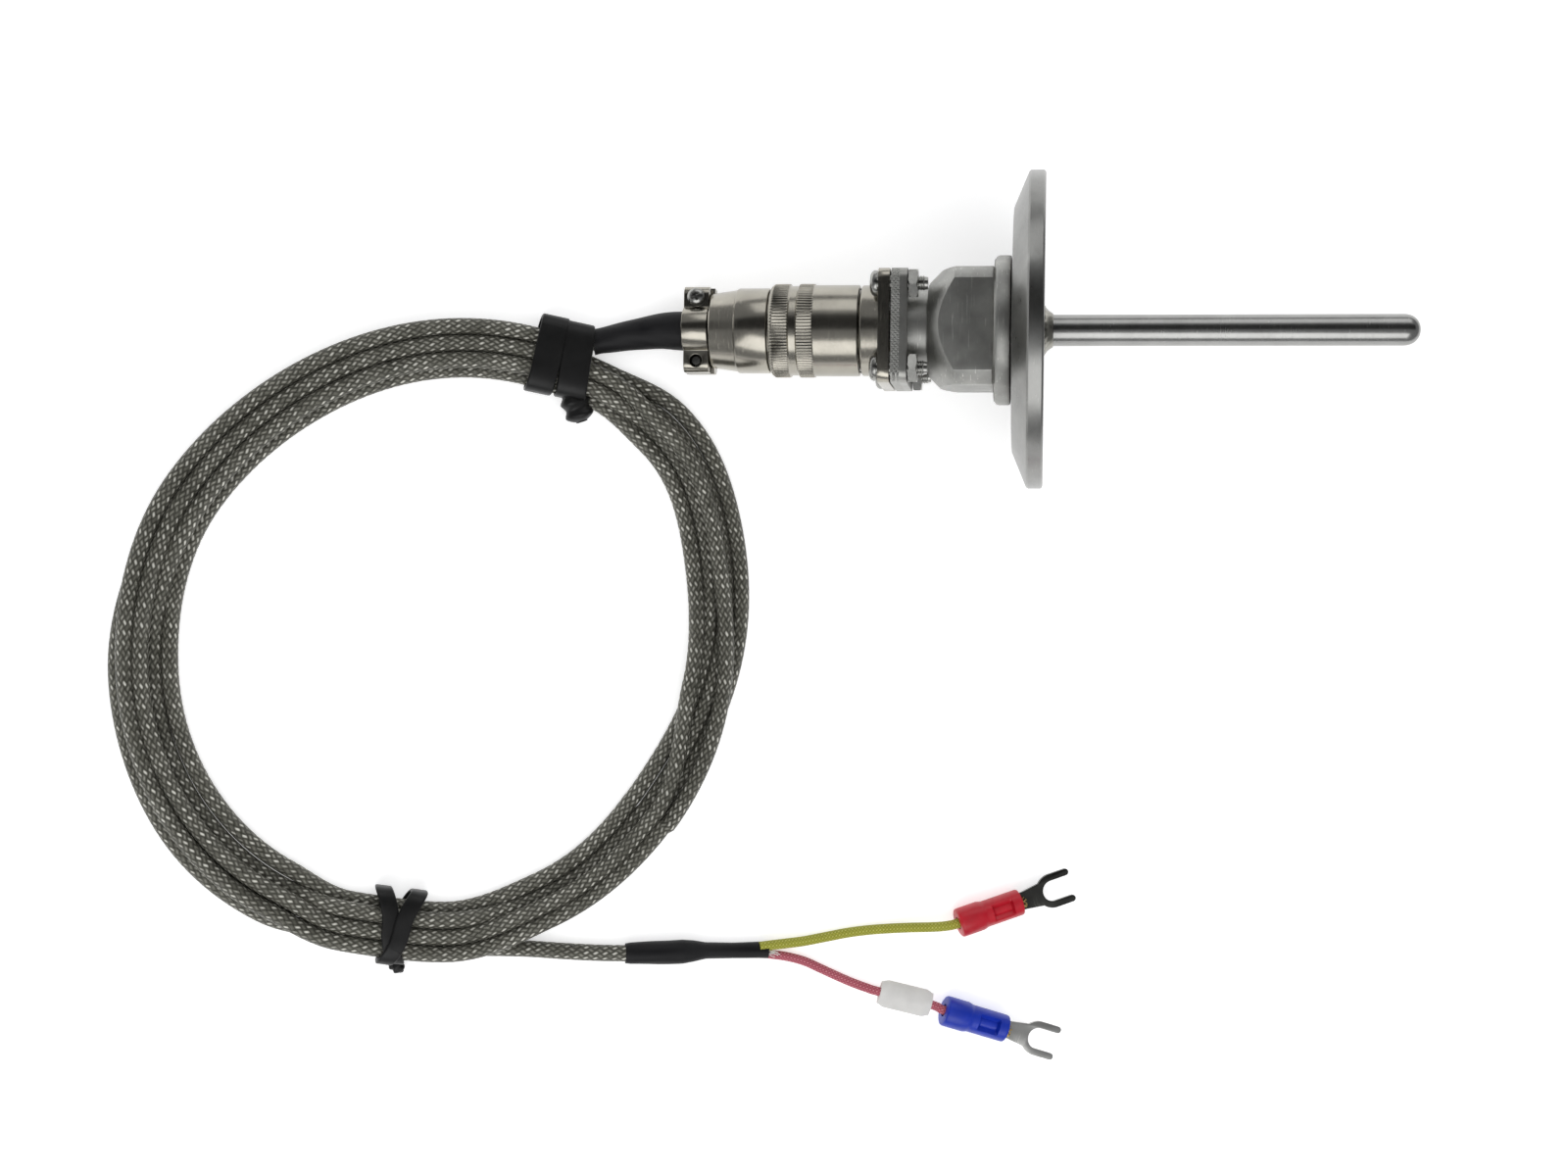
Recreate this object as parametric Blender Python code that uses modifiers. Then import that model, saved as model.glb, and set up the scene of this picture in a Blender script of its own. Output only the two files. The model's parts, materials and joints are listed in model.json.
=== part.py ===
"""Clamp-flange thermocouple with a round connector and a steel-braided lead.

Blender 4.5.  The constants are millimetres; the helpers turn them into metres.
+Z is up and the object rests on z = 0: the flange's rim and the cable clamp
touch the ground, so the probe points up at a slant, and the lead lies flat.

The probe and its connector share one axis.  Stations along it (z in the
profiles) count from the flange's front face: positive towards the hot tip,
negative towards the cable.  In that frame -X is the upper side.
"""
import math

import bmesh
import bpy
from mathutils import Matrix, Vector

MM = 0.001
GAP = 0.3                     # clearance between neighbouring solids
MERGE = 0.00001               # metres

# --- probe --------------------------------------------------------------
FLANGE_R = 32.0               # 64 mm clamp disc
RIM_THICK = 3.4
RIM_CHAMFER = 0.4
FLANGE_BEVEL_R = 24.9
FLANGE_BACK = -6.4
RELIEF_R = 5.6                # a shallow relief round the sheath takes the weld's foot
RELIEF_DEPTH = 0.2
TUBE_R = 3.175                # quarter-inch sheath
TUBE_BORE_R = 2.3
TUBE_LENGTH = 74.0            # in front of the flange
TUBE_REAR = -11.0
INSULATOR_R = 1.95
INSULATOR_TOP = 70.0
INSULATOR_REAR = -9.0
WIRE_R = 0.32
WIRE_OFFSET = 0.9
WIRE_BORE_R = 0.65
BEAD_R = 0.8
BEAD_Z = 71.2

HUB_FRONT = FLANGE_BACK - GAP
HUB_R = 15.1
HUB_REAR = -10.0
BAR_R = 14.9
FLATS_ACROSS = 23.5
NOSE_START = -17.8
NOSE_END = -23.3
NOSE_R = 9.4
NECK_R = 8.25
PLATE_SIDE = 23.0
PLATE_CORNER_R = 2.4
PLATE_FRONT = -27.2
PLATE_REAR = -30.4
ADAPTER_BORE_R = 4.9
POTTING_R = 4.6
POTTING_FRONT = -12.6
POTTING_REAR = -17.6

# --- receptacle on the probe ---------------------------------------------
SQUARE_FRONT = PLATE_REAR - GAP
SQUARE_REAR = -33.0
COLLAR_R = 9.25
COLLAR_REAR = -36.9
SOCKET_R = 7.5
SOCKET_BORE_R = 6.6
SOCKET_REAR = -45.0
SEAL_R = 8.9
SEAL_WIRE_R = 0.6
INSERT_R = 6.3
SOCKET_INSERT_FRONT = -31.2
SOCKET_INSERT_REAR = -39.0
PLUG_INSERT_FRONT = -39.3
PLUG_INSERT_STEP = -45.3
PLUG_INSERT_REAR = -51.5
PLUG_INSERT_REAR_R = 5.5
CONTACT_OFFSET = 3.2
PIN_R = 0.5
PIN_BODY_R = 0.9
CONTACT_R = 1.2
CONTACT_BORE_R = 0.8
PIN_SOLDER_END = -28.8
PIN_STEP = -38.4
PIN_TIP = -45.5
CONTACT_MOUTH = -39.6
CONTACT_SOLDER_END = -52.5
CORE_WIRE_R = 0.7
CORE_WIRE_OFFSET = 1.3

BOLT_OFFSET = 8.5             # screws on a 17 mm square
SCREW_R = 1.5
SCREW_HOLE_R = 1.8
SCREW_HEAD_R = 2.6
SCREW_HEAD_H = 1.5
SCREW_END = -23.1
NUT_ACROSS = 5.5
NUT_THICK = 1.8

# --- plug on the cable -----------------------------------------------------
PLUG_FRONT = COLLAR_REAR - 0.4
BARREL_R = 8.3
BARREL_BORE_R = 7.8
BARREL_STEP = -46.6
TAILPIECE_R = 7.0
TAILPIECE_BORE_R = 5.8
TAILPIECE_END = -60.0
RING_R = 9.3
RING_KNURL_R = 9.55
RING_GROOVE_R = 9.2
RING_BORE_R = 8.6
RING_SHOULDER_R = 7.3
RING_REAR = -55.4
SHELL_R = 8.7
SHELL_END_R = 7.55
SHELL_CONE_START = -62.4
SHELL_END = -67.8
SHELL_BORE_R = 7.3
SHELL_CABLE_R = 5.0

CLAMP_END = -73.3
CLAMP_HALF_WIDTH = 8.8
CLAMP_BOSS_H = 4.2
CLAMP_HUMP_R = 4.6
CLAMP_HUMP_TOP = 7.5
CLAMP_SPLIT = 0.25
CLAMP_BORE_R = 4.2
CLAMP_SCREW_Y = 6.5
CLAMP_SCREW_Z = -70.7
CLAMP_SCREW_R = 1.0
CLAMP_SCREW_HOLE_R = 1.3
CLAMP_HEAD_R = 1.75
CLAMP_HEAD_H = 1.2

# --- lead ------------------------------------------------------------------
CABLE_R = 1.7
SLEEVE_R = 3.9
SLEEVE_END_R = 2.6
YELLOW_R = 1.05
RED_R = 0.95
BOOT_LENGTH = 14.5
BOOT_BORE_R = 2.2
BOOT_REAR_BORE_R = 1.4
BOOT_AXIS_Z = 3.25
FORK_BARREL_R = 1.9
FORK_LENGTH = 12.2            # in front of the boot
FORK_WIDTH = 7.4
FORK_GAP = 4.5
FORK_THICK = 0.8
FORK_SLOT_DEPTH = 6.8

COIL_CENTRE = (-118.3, -64.2)
COIL_SEMI_LONG = 65.5         # outside, along the long direction
COIL_SEMI_SHORT = 62.3
COIL_LONG_ANGLE = math.radians(51.0)
COIL_WIDTH = 13.2
COIL_BOTTOM = 1.1
COIL_TOP = 7.4
TIE_THICK = 0.8
TIE_SLACK = 0.8               # room for the turns' curve inside the straight band
UPPER_TIE_ANGLE = math.radians(69.0)
LOWER_TIE_ANGLE = math.radians(262.0)
UPPER_TIE_WIDTH = 10.5
LOWER_TIE_WIDTH = 9.0

# Routes of the loose stretches, in the ground frame.
SLEEVE_ROUTE = [
    (-72.6, -0.05, 5.95), (-76.0, -0.35, 4.95), (-80.0, -1.0, 4.05),
    (-84.0, -1.85, 3.4), (-87.4, -2.6, 3.0),
]
TAIL_ROUTE = [
    (-98.5, -127.0, 1.75), (-92.0, -128.1, 1.75), (-85.0, -128.8, 1.9),
    (-78.7, -129.0, 2.3),
]
SPLIT_ROUTE = [
    (-78.3, -129.0, 2.45), (-72.0, -129.0, 2.5), (-66.5, -128.9, 2.4),
    (-62.0, -128.9, 2.1), (-55.0, -129.0, 1.9), (-48.6, -129.1, 1.85),
]
SPLIT_RADII = [2.3, 2.45, 2.35, 1.75, 1.55, 1.55]
YELLOW_ROUTE = [
    (-48.3, -128.05, 2.45), (-44.5, -127.8, 1.9), (-40.6, -127.5, 1.35),
    (-36.0, -126.8, 1.1), (-31.2, -126.0, 1.1), (-26.5, -125.5, 1.2),
    (-22.0, -125.2, 1.6), (-17.5, -125.0, 2.25), (-13.0, -124.9, 2.85),
    (-10.0, -124.7, 3.15),
]
RED_ROUTE = [
    (-48.3, -130.1, 1.05), (-44.5, -130.7, 1.0), (-40.5, -131.8, 1.0),
    (-37.0, -133.4, 1.0), (-33.4, -135.1, 1.0), (-30.0, -136.6, 1.05),
    (-26.8, -137.8, 1.25), (-24.3, -138.6, 1.45),
]
MARKER_START = (-24.0, -138.75, 1.5)
MARKER_END = (-12.9, -141.55, 2.35)
MARKER_WIDTH = 6.0
MARKER_THICK = 2.4
RED_BOOT_REAR = (-7.2, -124.15)
RED_BOOT_ANGLE = math.radians(17.5)
BLUE_BOOT_REAR = (-10.2, -142.7)
BLUE_BOOT_ANGLE = math.radians(-17.5)

# The slant at which the flange's rim and the clamp both touch the ground.
RIM_EDGE = -(RIM_THICK - RIM_CHAMFER)
SLANT = math.atan2(FLANGE_R - CLAMP_HUMP_TOP, RIM_EDGE - CLAMP_END)
AXIS_X = 0.78                 # centres the probe and plug over the origin
AXIS_Z = FLANGE_R * math.cos(SLANT) - RIM_EDGE * math.sin(SLANT)


# --- scene helpers ------------------------------------------------------------
def clear_scene():
    for item in list(bpy.data.objects):
        bpy.data.objects.remove(item, do_unlink=True)


def new_collection(name):
    collection = bpy.data.collections.new(name)
    bpy.context.scene.collection.children.link(collection)
    return collection


def make_material(name, colour, roughness, metallic):
    material = bpy.data.materials.new(name)
    material.use_nodes = True
    shader = material.node_tree.nodes["Principled BSDF"]
    shader.inputs["Base Color"].default_value = (*colour, 1.0)
    shader.inputs["Roughness"].default_value = roughness
    shader.inputs["Metallic"].default_value = metallic
    return material


clear_scene()
PARTS = new_collection("thermocouple")
CUTTERS = new_collection("cutters")

STAINLESS = make_material("stainless", (0.42, 0.42, 0.41), 0.3, 1.0)
MILLED = make_material("milled_stainless", (0.38, 0.38, 0.37), 0.4, 1.0)
NICKEL = make_material("nickel_plate", (0.5, 0.48, 0.43), 0.25, 1.0)
FASTENER = make_material("fastener_steel", (0.45, 0.45, 0.44), 0.3, 1.0)
CONTACT = make_material("contact_gold", (0.75, 0.55, 0.2), 0.3, 1.0)
INSULATION = make_material("black_insert", (0.03, 0.03, 0.03), 0.5, 0.0)
CERAMIC = make_material("ceramic", (0.8, 0.78, 0.72), 0.7, 0.0)
EPOXY = make_material("potting_resin", (0.12, 0.1, 0.08), 0.5, 0.0)
SEAL = make_material("seal_rubber", (0.05, 0.05, 0.05), 0.7, 0.0)
WIRE = make_material("thermo_wire", (0.4, 0.38, 0.36), 0.4, 1.0)
SHRINK = make_material("black_shrink", (0.01, 0.01, 0.01), 0.55, 0.0)
BRAID = make_material("steel_braid", (0.16, 0.16, 0.14), 0.4, 0.9)
TIE = make_material("black_tie", (0.012, 0.012, 0.012), 0.5, 0.0)
YELLOW = make_material("yellow_glass_braid", (0.45, 0.43, 0.08), 0.8, 0.0)
RED = make_material("red_glass_braid", (0.5, 0.12, 0.16), 0.8, 0.0)
MARKER = make_material("white_marker", (0.7, 0.69, 0.66), 0.6, 0.0)
RED_VINYL = make_material("red_vinyl", (0.5, 0.01, 0.03), 0.35, 0.0)
BLUE_VINYL = make_material("blue_vinyl", (0.01, 0.05, 0.5), 0.35, 0.0)
TIN = make_material("tinned_copper", (0.6, 0.6, 0.58), 0.35, 1.0)


def add(name, data, material, parent, collection=None):
    item = bpy.data.objects.new(name, data)
    (collection or PARTS).objects.link(item)
    item.parent = parent
    if material:
        data.materials.append(material)
    return item


def metres(point):
    return Vector(point) * MM


def turned(name, outline, material, parent, steps=40, collection=None):
    """Turn (radius, z) points about Z; an outline off the axis is a closed ring."""
    mesh = bpy.data.meshes.new(name)
    edges = [(index, index + 1) for index in range(len(outline) - 1)]
    if outline[0][0] > 0.0:
        edges.append((len(outline) - 1, 0))
    mesh.from_pydata([metres((radius, 0.0, z)) for radius, z in outline], edges, [])
    item = add(name, mesh, material, parent, collection)
    screw = item.modifiers.new("turn", "SCREW")
    screw.axis = "Z"
    screw.angle = math.tau
    screw.steps = steps
    screw.render_steps = steps
    screw.use_merge_vertices = True
    screw.merge_threshold = MERGE
    screw.use_smooth_shade = True
    return item


def tube(name, points, radius, material, parent=None, radii=None, resolution=2):
    """A round rod along points; radii, if given, replace the one radius."""
    curve = bpy.data.curves.new(name, "CURVE")
    curve.dimensions = "3D"
    curve.bevel_depth = radius * MM
    curve.bevel_resolution = resolution
    curve.use_fill_caps = True
    spline = curve.splines.new("POLY")
    spline.points.add(len(points) - 1)
    for index, point in enumerate(points):
        spline.points[index].co = (*metres(point), 1.0)
        if radii:
            spline.points[index].radius = radii[index] / radius
    return add(name, curve, material, parent)


def smooth_route(route, per_span):
    """Points along a smooth curve through the route's own points."""
    knots = [Vector(point) for point in route]
    ends = [2 * knots[0] - knots[1]] + knots + [2 * knots[-1] - knots[-2]]
    points = []
    for before, start, end, after in zip(ends, ends[1:], ends[2:], ends[3:]):
        for step in range(per_span):
            t = step / per_span
            points.append(0.5 * (
                2 * start + (end - before) * t
                + (2 * before - 5 * start + 4 * end - after) * t ** 2
                + (3 * start - before - 3 * end + after) * t ** 3))
    points.append(knots[-1])
    return points


def spread(values, per_span):
    """The route's radii, blended to the points that smooth_route gives."""
    blended = []
    for start, end in zip(values, values[1:]):
        for step in range(per_span):
            t = step / per_span
            blended.append(start + (end - start) * (3 * t ** 2 - 2 * t ** 3))
    return blended + [values[-1]]


def slab(name, outlines, thickness, material, parent, collection=None):
    """A flat piece, centred on its local z = 0, as a mesh ready for Booleans."""
    curve = bpy.data.curves.new(name, "CURVE")
    curve.dimensions = "2D"
    curve.fill_mode = "BOTH"
    curve.extrude = 0.5 * thickness * MM
    for outline in outlines:
        spline = curve.splines.new("POLY")
        spline.points.add(len(outline) - 1)
        spline.use_cyclic_u = True
        for index, (x, y) in enumerate(outline):
            spline.points[index].co = (x * MM, y * MM, 0.0, 1.0)
    source = bpy.data.objects.new(name + "_outline", curve)
    CUTTERS.objects.link(source)
    shape = source.evaluated_get(bpy.context.evaluated_depsgraph_get())
    mesh = bpy.data.meshes.new_from_object(shape)
    mesh.name = name
    bpy.data.objects.remove(source, do_unlink=True)
    solid = bmesh.new()
    solid.from_mesh(mesh)
    bmesh.ops.remove_doubles(solid, verts=solid.verts, dist=MERGE)
    bmesh.ops.recalc_face_normals(solid, faces=solid.faces)
    solid.to_mesh(mesh)
    solid.free()
    mesh.materials.clear()
    return add(name, mesh, material, parent, collection)


def arc(centre, radius, start_deg, end_deg, steps):
    """Points of an arc, both ends included."""
    points = []
    for step in range(steps + 1):
        angle = math.radians(start_deg + (end_deg - start_deg) * step / steps)
        points.append((centre[0] + radius * math.cos(angle),
                       centre[1] + radius * math.sin(angle)))
    return points


def rounded_box(half_x, half_y, corner, steps=4):
    outline = []
    for sign_x, sign_y, start in ((1, 1, 0), (-1, 1, 90), (-1, -1, 180), (1, -1, 270)):
        centre = (sign_x * (half_x - corner), sign_y * (half_y - corner))
        outline += arc(centre, corner, start, start + 90, steps)
    return outline


def make_cutter(item):
    item.hide_render = True
    item.display_type = "WIRE"
    return item


def rod_cutter(name, radius, length, place, turn, parent, steps=16):
    """A cylinder along local Z, turned by an Euler rotation."""
    outline = [(0.0, length / 2), (radius, length / 2), (radius, -length / 2), (0.0, -length / 2)]
    item = turned(name, outline, None, parent, steps, CUTTERS)
    item.location = metres(place)
    item.rotation_euler = turn
    return make_cutter(item)


def box_cutter(name, size, place, parent):
    mesh = bpy.data.meshes.new(name)
    cube = bmesh.new()
    bmesh.ops.create_cube(cube, size=1.0)
    bmesh.ops.scale(cube, vec=metres(size), verts=cube.verts)
    cube.to_mesh(mesh)
    cube.free()
    item = add(name, mesh, None, parent, CUTTERS)
    item.location = metres(place)
    return make_cutter(item)


def combine(item, other, operation):
    boolean = item.modifiers.new(operation.lower(), "BOOLEAN")
    boolean.object = other
    boolean.operation = operation
    boolean.solver = "EXACT"


# --- probe ------------------------------------------------------------------
def probe_axis():
    """The shared axis: local Z runs up the probe, local -X is the upper side."""
    empty = bpy.data.objects.new("probe_axis", None)
    PARTS.objects.link(empty)
    empty.location = metres((AXIS_X, 0.0, AXIS_Z))
    empty.rotation_euler = (0.0, math.pi / 2 - SLANT, 0.0)
    return empty


def build_process_flange(axis):
    bore = TUBE_R + GAP
    turned("process_flange", [
        (bore, -RELIEF_DEPTH), (RELIEF_R, -RELIEF_DEPTH), (RELIEF_R, 0.0),
        (FLANGE_R - RIM_CHAMFER, 0.0), (FLANGE_R, -RIM_CHAMFER),
        (FLANGE_R, RIM_EDGE), (FLANGE_R - RIM_CHAMFER, -RIM_THICK),
        (FLANGE_BEVEL_R, FLANGE_BACK + 0.2), (FLANGE_BEVEL_R - 1.0, FLANGE_BACK),
        (bore, FLANGE_BACK),
    ], STAINLESS, axis, steps=60)


def build_sheath(axis):
    tip = TUBE_LENGTH
    wall_end = tip - 1.5
    turned("sheath_tube", [
        (0.0, tip), (1.3, tip - 0.2), (2.4, tip - 0.9), (3.0, tip - 2.0),
        (TUBE_R, tip - 3.4), (TUBE_R, TUBE_REAR), (TUBE_BORE_R, TUBE_REAR),
        (TUBE_BORE_R, wall_end - 1.0), (1.3, wall_end - 0.2), (0.0, wall_end),
    ], STAINLESS, axis, steps=32)
    bore = TUBE_R + GAP
    turned("sheath_weld", [
        (bore, 1.7), (bore + 0.35, 1.5), (bore + 0.7, 1.0),
        (bore + 1.3, GAP - RELIEF_DEPTH), (bore, GAP - RELIEF_DEPTH),
    ], STAINLESS, axis, steps=28)


def build_sensor(axis):
    insulator = turned("ceramic_insulator", [
        (0.0, INSULATOR_TOP), (INSULATOR_R, INSULATOR_TOP),
        (INSULATOR_R, INSULATOR_REAR), (0.0, INSULATOR_REAR),
    ], CERAMIC, axis, steps=24)
    potting = turned("potting_plug", [
        (0.0, POTTING_FRONT), (POTTING_R, POTTING_FRONT),
        (POTTING_R, POTTING_REAR), (0.0, POTTING_REAR),
    ], EPOXY, axis, steps=28)
    for number, side in ((1, 1), (2, -1)):
        place = (0.0, side * WIRE_OFFSET, 25.0)
        bore = rod_cutter(f"wire_bore_{number}", WIRE_BORE_R, 120.0, place, (0, 0, 0), axis, 12)
        combine(insulator, bore, "DIFFERENCE")
        combine(potting, bore, "DIFFERENCE")
        near, far = side * WIRE_OFFSET, side * CONTACT_OFFSET
        name = "positive_wire" if side > 0 else "negative_wire"
        tube(name, [
            (0.0, near, INSULATOR_TOP + 0.1), (0.0, near, 40.0), (0.0, near, 0.0), (0.0, near, -18.5),
            (0.0, 0.75 * near + 0.25 * far, -20.5), (0.0, 0.5 * (near + far), -22.5),
            (0.0, 0.25 * near + 0.75 * far, -24.5), (0.0, far, -26.5), (0.0, far, -28.5),
        ], WIRE_R, WIRE, axis)
    bead = bpy.data.meshes.new("hot_junction")
    ball = bmesh.new()
    bmesh.ops.create_uvsphere(ball, u_segments=12, v_segments=8, radius=BEAD_R * MM)
    ball.to_mesh(bead)
    ball.free()
    junction = add("hot_junction", bead, WIRE, axis)
    junction.location = metres((0.0, 0.0, BEAD_Z))


def bolt_places():
    return [(x * BOLT_OFFSET, y * BOLT_OFFSET) for x in (-1, 1) for y in (-1, 1)]


def square_plate(name, front, rear, axis):
    half = PLATE_SIDE / 2
    plate = slab(name, [rounded_box(half, half, PLATE_CORNER_R)], front - rear, None, axis, CUTTERS)
    plate.location = metres((0.0, 0.0, 0.5 * (front + rear)))
    return make_cutter(plate)


def build_adapter(axis, bolt_bores):
    adapter = turned("adapter_body", [
        (TUBE_R + GAP, HUB_FRONT), (HUB_R - 0.3, HUB_FRONT), (HUB_R, HUB_FRONT - 0.3),
        (HUB_R, HUB_REAR + 0.9), (HUB_R - 0.9, HUB_REAR), (BAR_R, HUB_REAR - 0.1),
        (BAR_R, NOSE_START), (NOSE_R, NOSE_END), (NECK_R, NOSE_END - 0.2),
        (NECK_R, PLATE_REAR), (ADAPTER_BORE_R, PLATE_REAR),
        (ADAPTER_BORE_R, TUBE_REAR - 0.6), (TUBE_R + GAP, TUBE_REAR - 0.6),
    ], MILLED, axis, steps=48)
    half = FLATS_ACROSS / 2
    depth = 8.0
    length = HUB_REAR - NOSE_END + 1.0
    middle = HUB_REAR - length / 2
    for number, (x, y) in enumerate(((1, 0), (-1, 0), (0, 1), (0, -1)), start=1):
        size = (depth if x else 40.0, depth if y else 40.0, length)
        place = (x * (half + depth / 2), y * (half + depth / 2), middle)
        combine(adapter, box_cutter(f"flat_cut_{number}", size, place, axis), "DIFFERENCE")
    plate = square_plate("adapter_plate", PLATE_FRONT, PLATE_REAR, axis)
    combine(plate, rod_cutter("plate_bore", ADAPTER_BORE_R + 1.5, 20.0, (0, 0, -29), (0, 0, 0), axis, 32),
            "DIFFERENCE")
    combine(adapter, plate, "UNION")
    for bore in bolt_bores:
        combine(adapter, bore, "DIFFERENCE")


def build_receptacle(axis, bolt_bores):
    shell = turned("receptacle_shell", [
        (SOCKET_BORE_R, SQUARE_FRONT), (COLLAR_R, SQUARE_FRONT), (COLLAR_R, COLLAR_REAR + 0.3),
        (COLLAR_R - 0.3, COLLAR_REAR), (SOCKET_R, COLLAR_REAR), (SOCKET_R, SOCKET_REAR),
        (SOCKET_BORE_R, SOCKET_REAR),
    ], NICKEL, axis, steps=44)
    square = square_plate("receptacle_square", SQUARE_FRONT, SQUARE_REAR, axis)
    combine(square, rod_cutter("square_bore", SOCKET_BORE_R + 1.0, 9.0, (0, 0, -32), (0, 0, 0), axis, 40),
            "DIFFERENCE")
    combine(shell, square, "UNION")
    for bore in bolt_bores:
        combine(shell, bore, "DIFFERENCE")
    width = SEAL_WIRE_R + GAP
    groove_floor = SQUARE_FRONT - 2 * SEAL_WIRE_R
    groove = turned("seal_groove", [
        (SEAL_R - width, SQUARE_FRONT + 1.0), (SEAL_R + width, SQUARE_FRONT + 1.0),
        (SEAL_R + width, groove_floor - GAP), (SEAL_R - width, groove_floor - GAP),
    ], None, axis, 40, CUTTERS)
    combine(shell, make_cutter(groove), "DIFFERENCE")
    centre_z = groove_floor + SEAL_WIRE_R
    outline = [(SEAL_R + x, centre_z + z) for x, z in arc((0, 0), SEAL_WIRE_R, 90, -225, 7)]
    turned("face_seal", outline, SEAL, axis, steps=24)


def build_inserts(axis):
    socket_insert = turned("receptacle_insert", [
        (0.0, SOCKET_INSERT_FRONT), (INSERT_R, SOCKET_INSERT_FRONT),
        (INSERT_R, SOCKET_INSERT_REAR), (0.0, SOCKET_INSERT_REAR),
    ], INSULATION, axis, steps=36)
    plug_insert = turned("plug_insert", [
        (0.0, PLUG_INSERT_FRONT), (INSERT_R, PLUG_INSERT_FRONT), (INSERT_R, PLUG_INSERT_STEP),
        (PLUG_INSERT_REAR_R, PLUG_INSERT_STEP), (PLUG_INSERT_REAR_R, PLUG_INSERT_REAR),
        (0.0, PLUG_INSERT_REAR),
    ], INSULATION, axis, steps=36)
    for number, side in ((1, 1), (2, -1)):
        place = (0.0, side * CONTACT_OFFSET)
        bore = rod_cutter(f"pin_bore_{number}", PIN_BODY_R + GAP, 12.0, (*place, -35.0), (0, 0, 0), axis)
        combine(socket_insert, bore, "DIFFERENCE")
        bore = rod_cutter(f"contact_bore_{number}", CONTACT_R + GAP, 16.0, (*place, -45.5), (0, 0, 0), axis)
        combine(plug_insert, bore, "DIFFERENCE")
        pin = turned(f"pin_contact_{number}", [
            (0.0, PIN_SOLDER_END), (PIN_BODY_R, PIN_SOLDER_END), (PIN_BODY_R, PIN_STEP),
            (PIN_R, PIN_STEP - 0.4), (PIN_R, PIN_TIP + 0.4), (0.0, PIN_TIP),
        ], CONTACT, axis, steps=14)
        socket = turned(f"socket_contact_{number}", [
            (0.0, PIN_TIP - 0.7), (CONTACT_BORE_R, PIN_TIP - 0.7), (CONTACT_BORE_R, CONTACT_MOUTH),
            (CONTACT_R, CONTACT_MOUTH), (CONTACT_R, CONTACT_SOLDER_END), (0.0, CONTACT_SOLDER_END),
        ], CONTACT, axis, steps=14)
        for item in (pin, socket):
            item.location = metres((*place, 0.0))
        far, near = side * CONTACT_OFFSET, side * CORE_WIRE_OFFSET
        tube(f"core_wire_{number}", [
            (0.0, far, CONTACT_SOLDER_END - GAP), (0.0, far, -54.0), (0.0, 0.7 * far + 0.3 * near, -56.0),
            (0.0, 0.3 * far + 0.7 * near, -58.2), (0.0, near, -60.0), (0.0, near, -61.2),
        ], CORE_WIRE_R, YELLOW if side > 0 else RED, axis)


def build_square_fasteners(axis):
    """Pan screws from the plug side, with hex nuts behind the adapter's plate."""
    head_top = SQUARE_REAR - GAP
    nut_rear = PLATE_FRONT + GAP
    corner = NUT_ACROSS / 2 / math.cos(math.radians(30))
    hexagon = arc((0, 0), corner, 0, 300, 5)
    hole = arc((0, 0), SCREW_HOLE_R, 0, 330, 11)
    for number, (x, y) in enumerate(bolt_places(), start=1):
        screw = turned(f"flange_screw_{number}", [
            (0.0, SCREW_END), (SCREW_R - 0.3, SCREW_END), (SCREW_R, SCREW_END - 0.3),
            (SCREW_R, head_top), (SCREW_HEAD_R, head_top),
            (SCREW_HEAD_R, head_top - 0.7), (SCREW_HEAD_R - 0.7, head_top - SCREW_HEAD_H),
            (0.0, head_top - SCREW_HEAD_H),
        ], FASTENER, axis, steps=16)
        screw.location = metres((x, y, 0.0))
        nut = slab(f"flange_nut_{number}", [hexagon, hole], NUT_THICK, FASTENER, axis)
        nut.location = metres((x, y, nut_rear + NUT_THICK / 2))


# --- plug --------------------------------------------------------------------
def build_plug(axis):
    turned("plug_barrel", [
        (BARREL_BORE_R, PLUG_FRONT), (BARREL_R, PLUG_FRONT), (BARREL_R, BARREL_STEP),
        (TAILPIECE_R, BARREL_STEP), (TAILPIECE_R, TAILPIECE_END), (TAILPIECE_BORE_R, TAILPIECE_END),
        (TAILPIECE_BORE_R, SOCKET_REAR - 0.6), (BARREL_BORE_R, SOCKET_REAR - 0.6),
    ], NICKEL, axis, steps=36)
    shoulder = BARREL_STEP - GAP
    turned("coupling_ring", [
        (RING_R - 0.3, PLUG_FRONT), (RING_R, PLUG_FRONT - 0.3), (RING_R, -46.3),
        (RING_KNURL_R, -46.5), (RING_KNURL_R, -49.5), (RING_GROOVE_R, -49.8),
        (RING_GROOVE_R, -51.3), (RING_KNURL_R, -51.6), (RING_KNURL_R, RING_REAR + 0.7),
        (RING_KNURL_R - 0.6, RING_REAR), (RING_BORE_R, RING_REAR), (RING_BORE_R, shoulder - 1.6),
        (RING_SHOULDER_R, shoulder - 1.6), (RING_SHOULDER_R, shoulder), (RING_BORE_R, shoulder),
        (RING_BORE_R, PLUG_FRONT),
    ], NICKEL, axis, steps=44)
    clip_front = shoulder - 1.6 - GAP
    turned("retaining_ring", [
        (TAILPIECE_R + GAP, clip_front), (BARREL_R, clip_front),
        (BARREL_R, clip_front - 0.8), (TAILPIECE_R + GAP, clip_front - 0.8),
    ], FASTENER, axis, steps=28)


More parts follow.
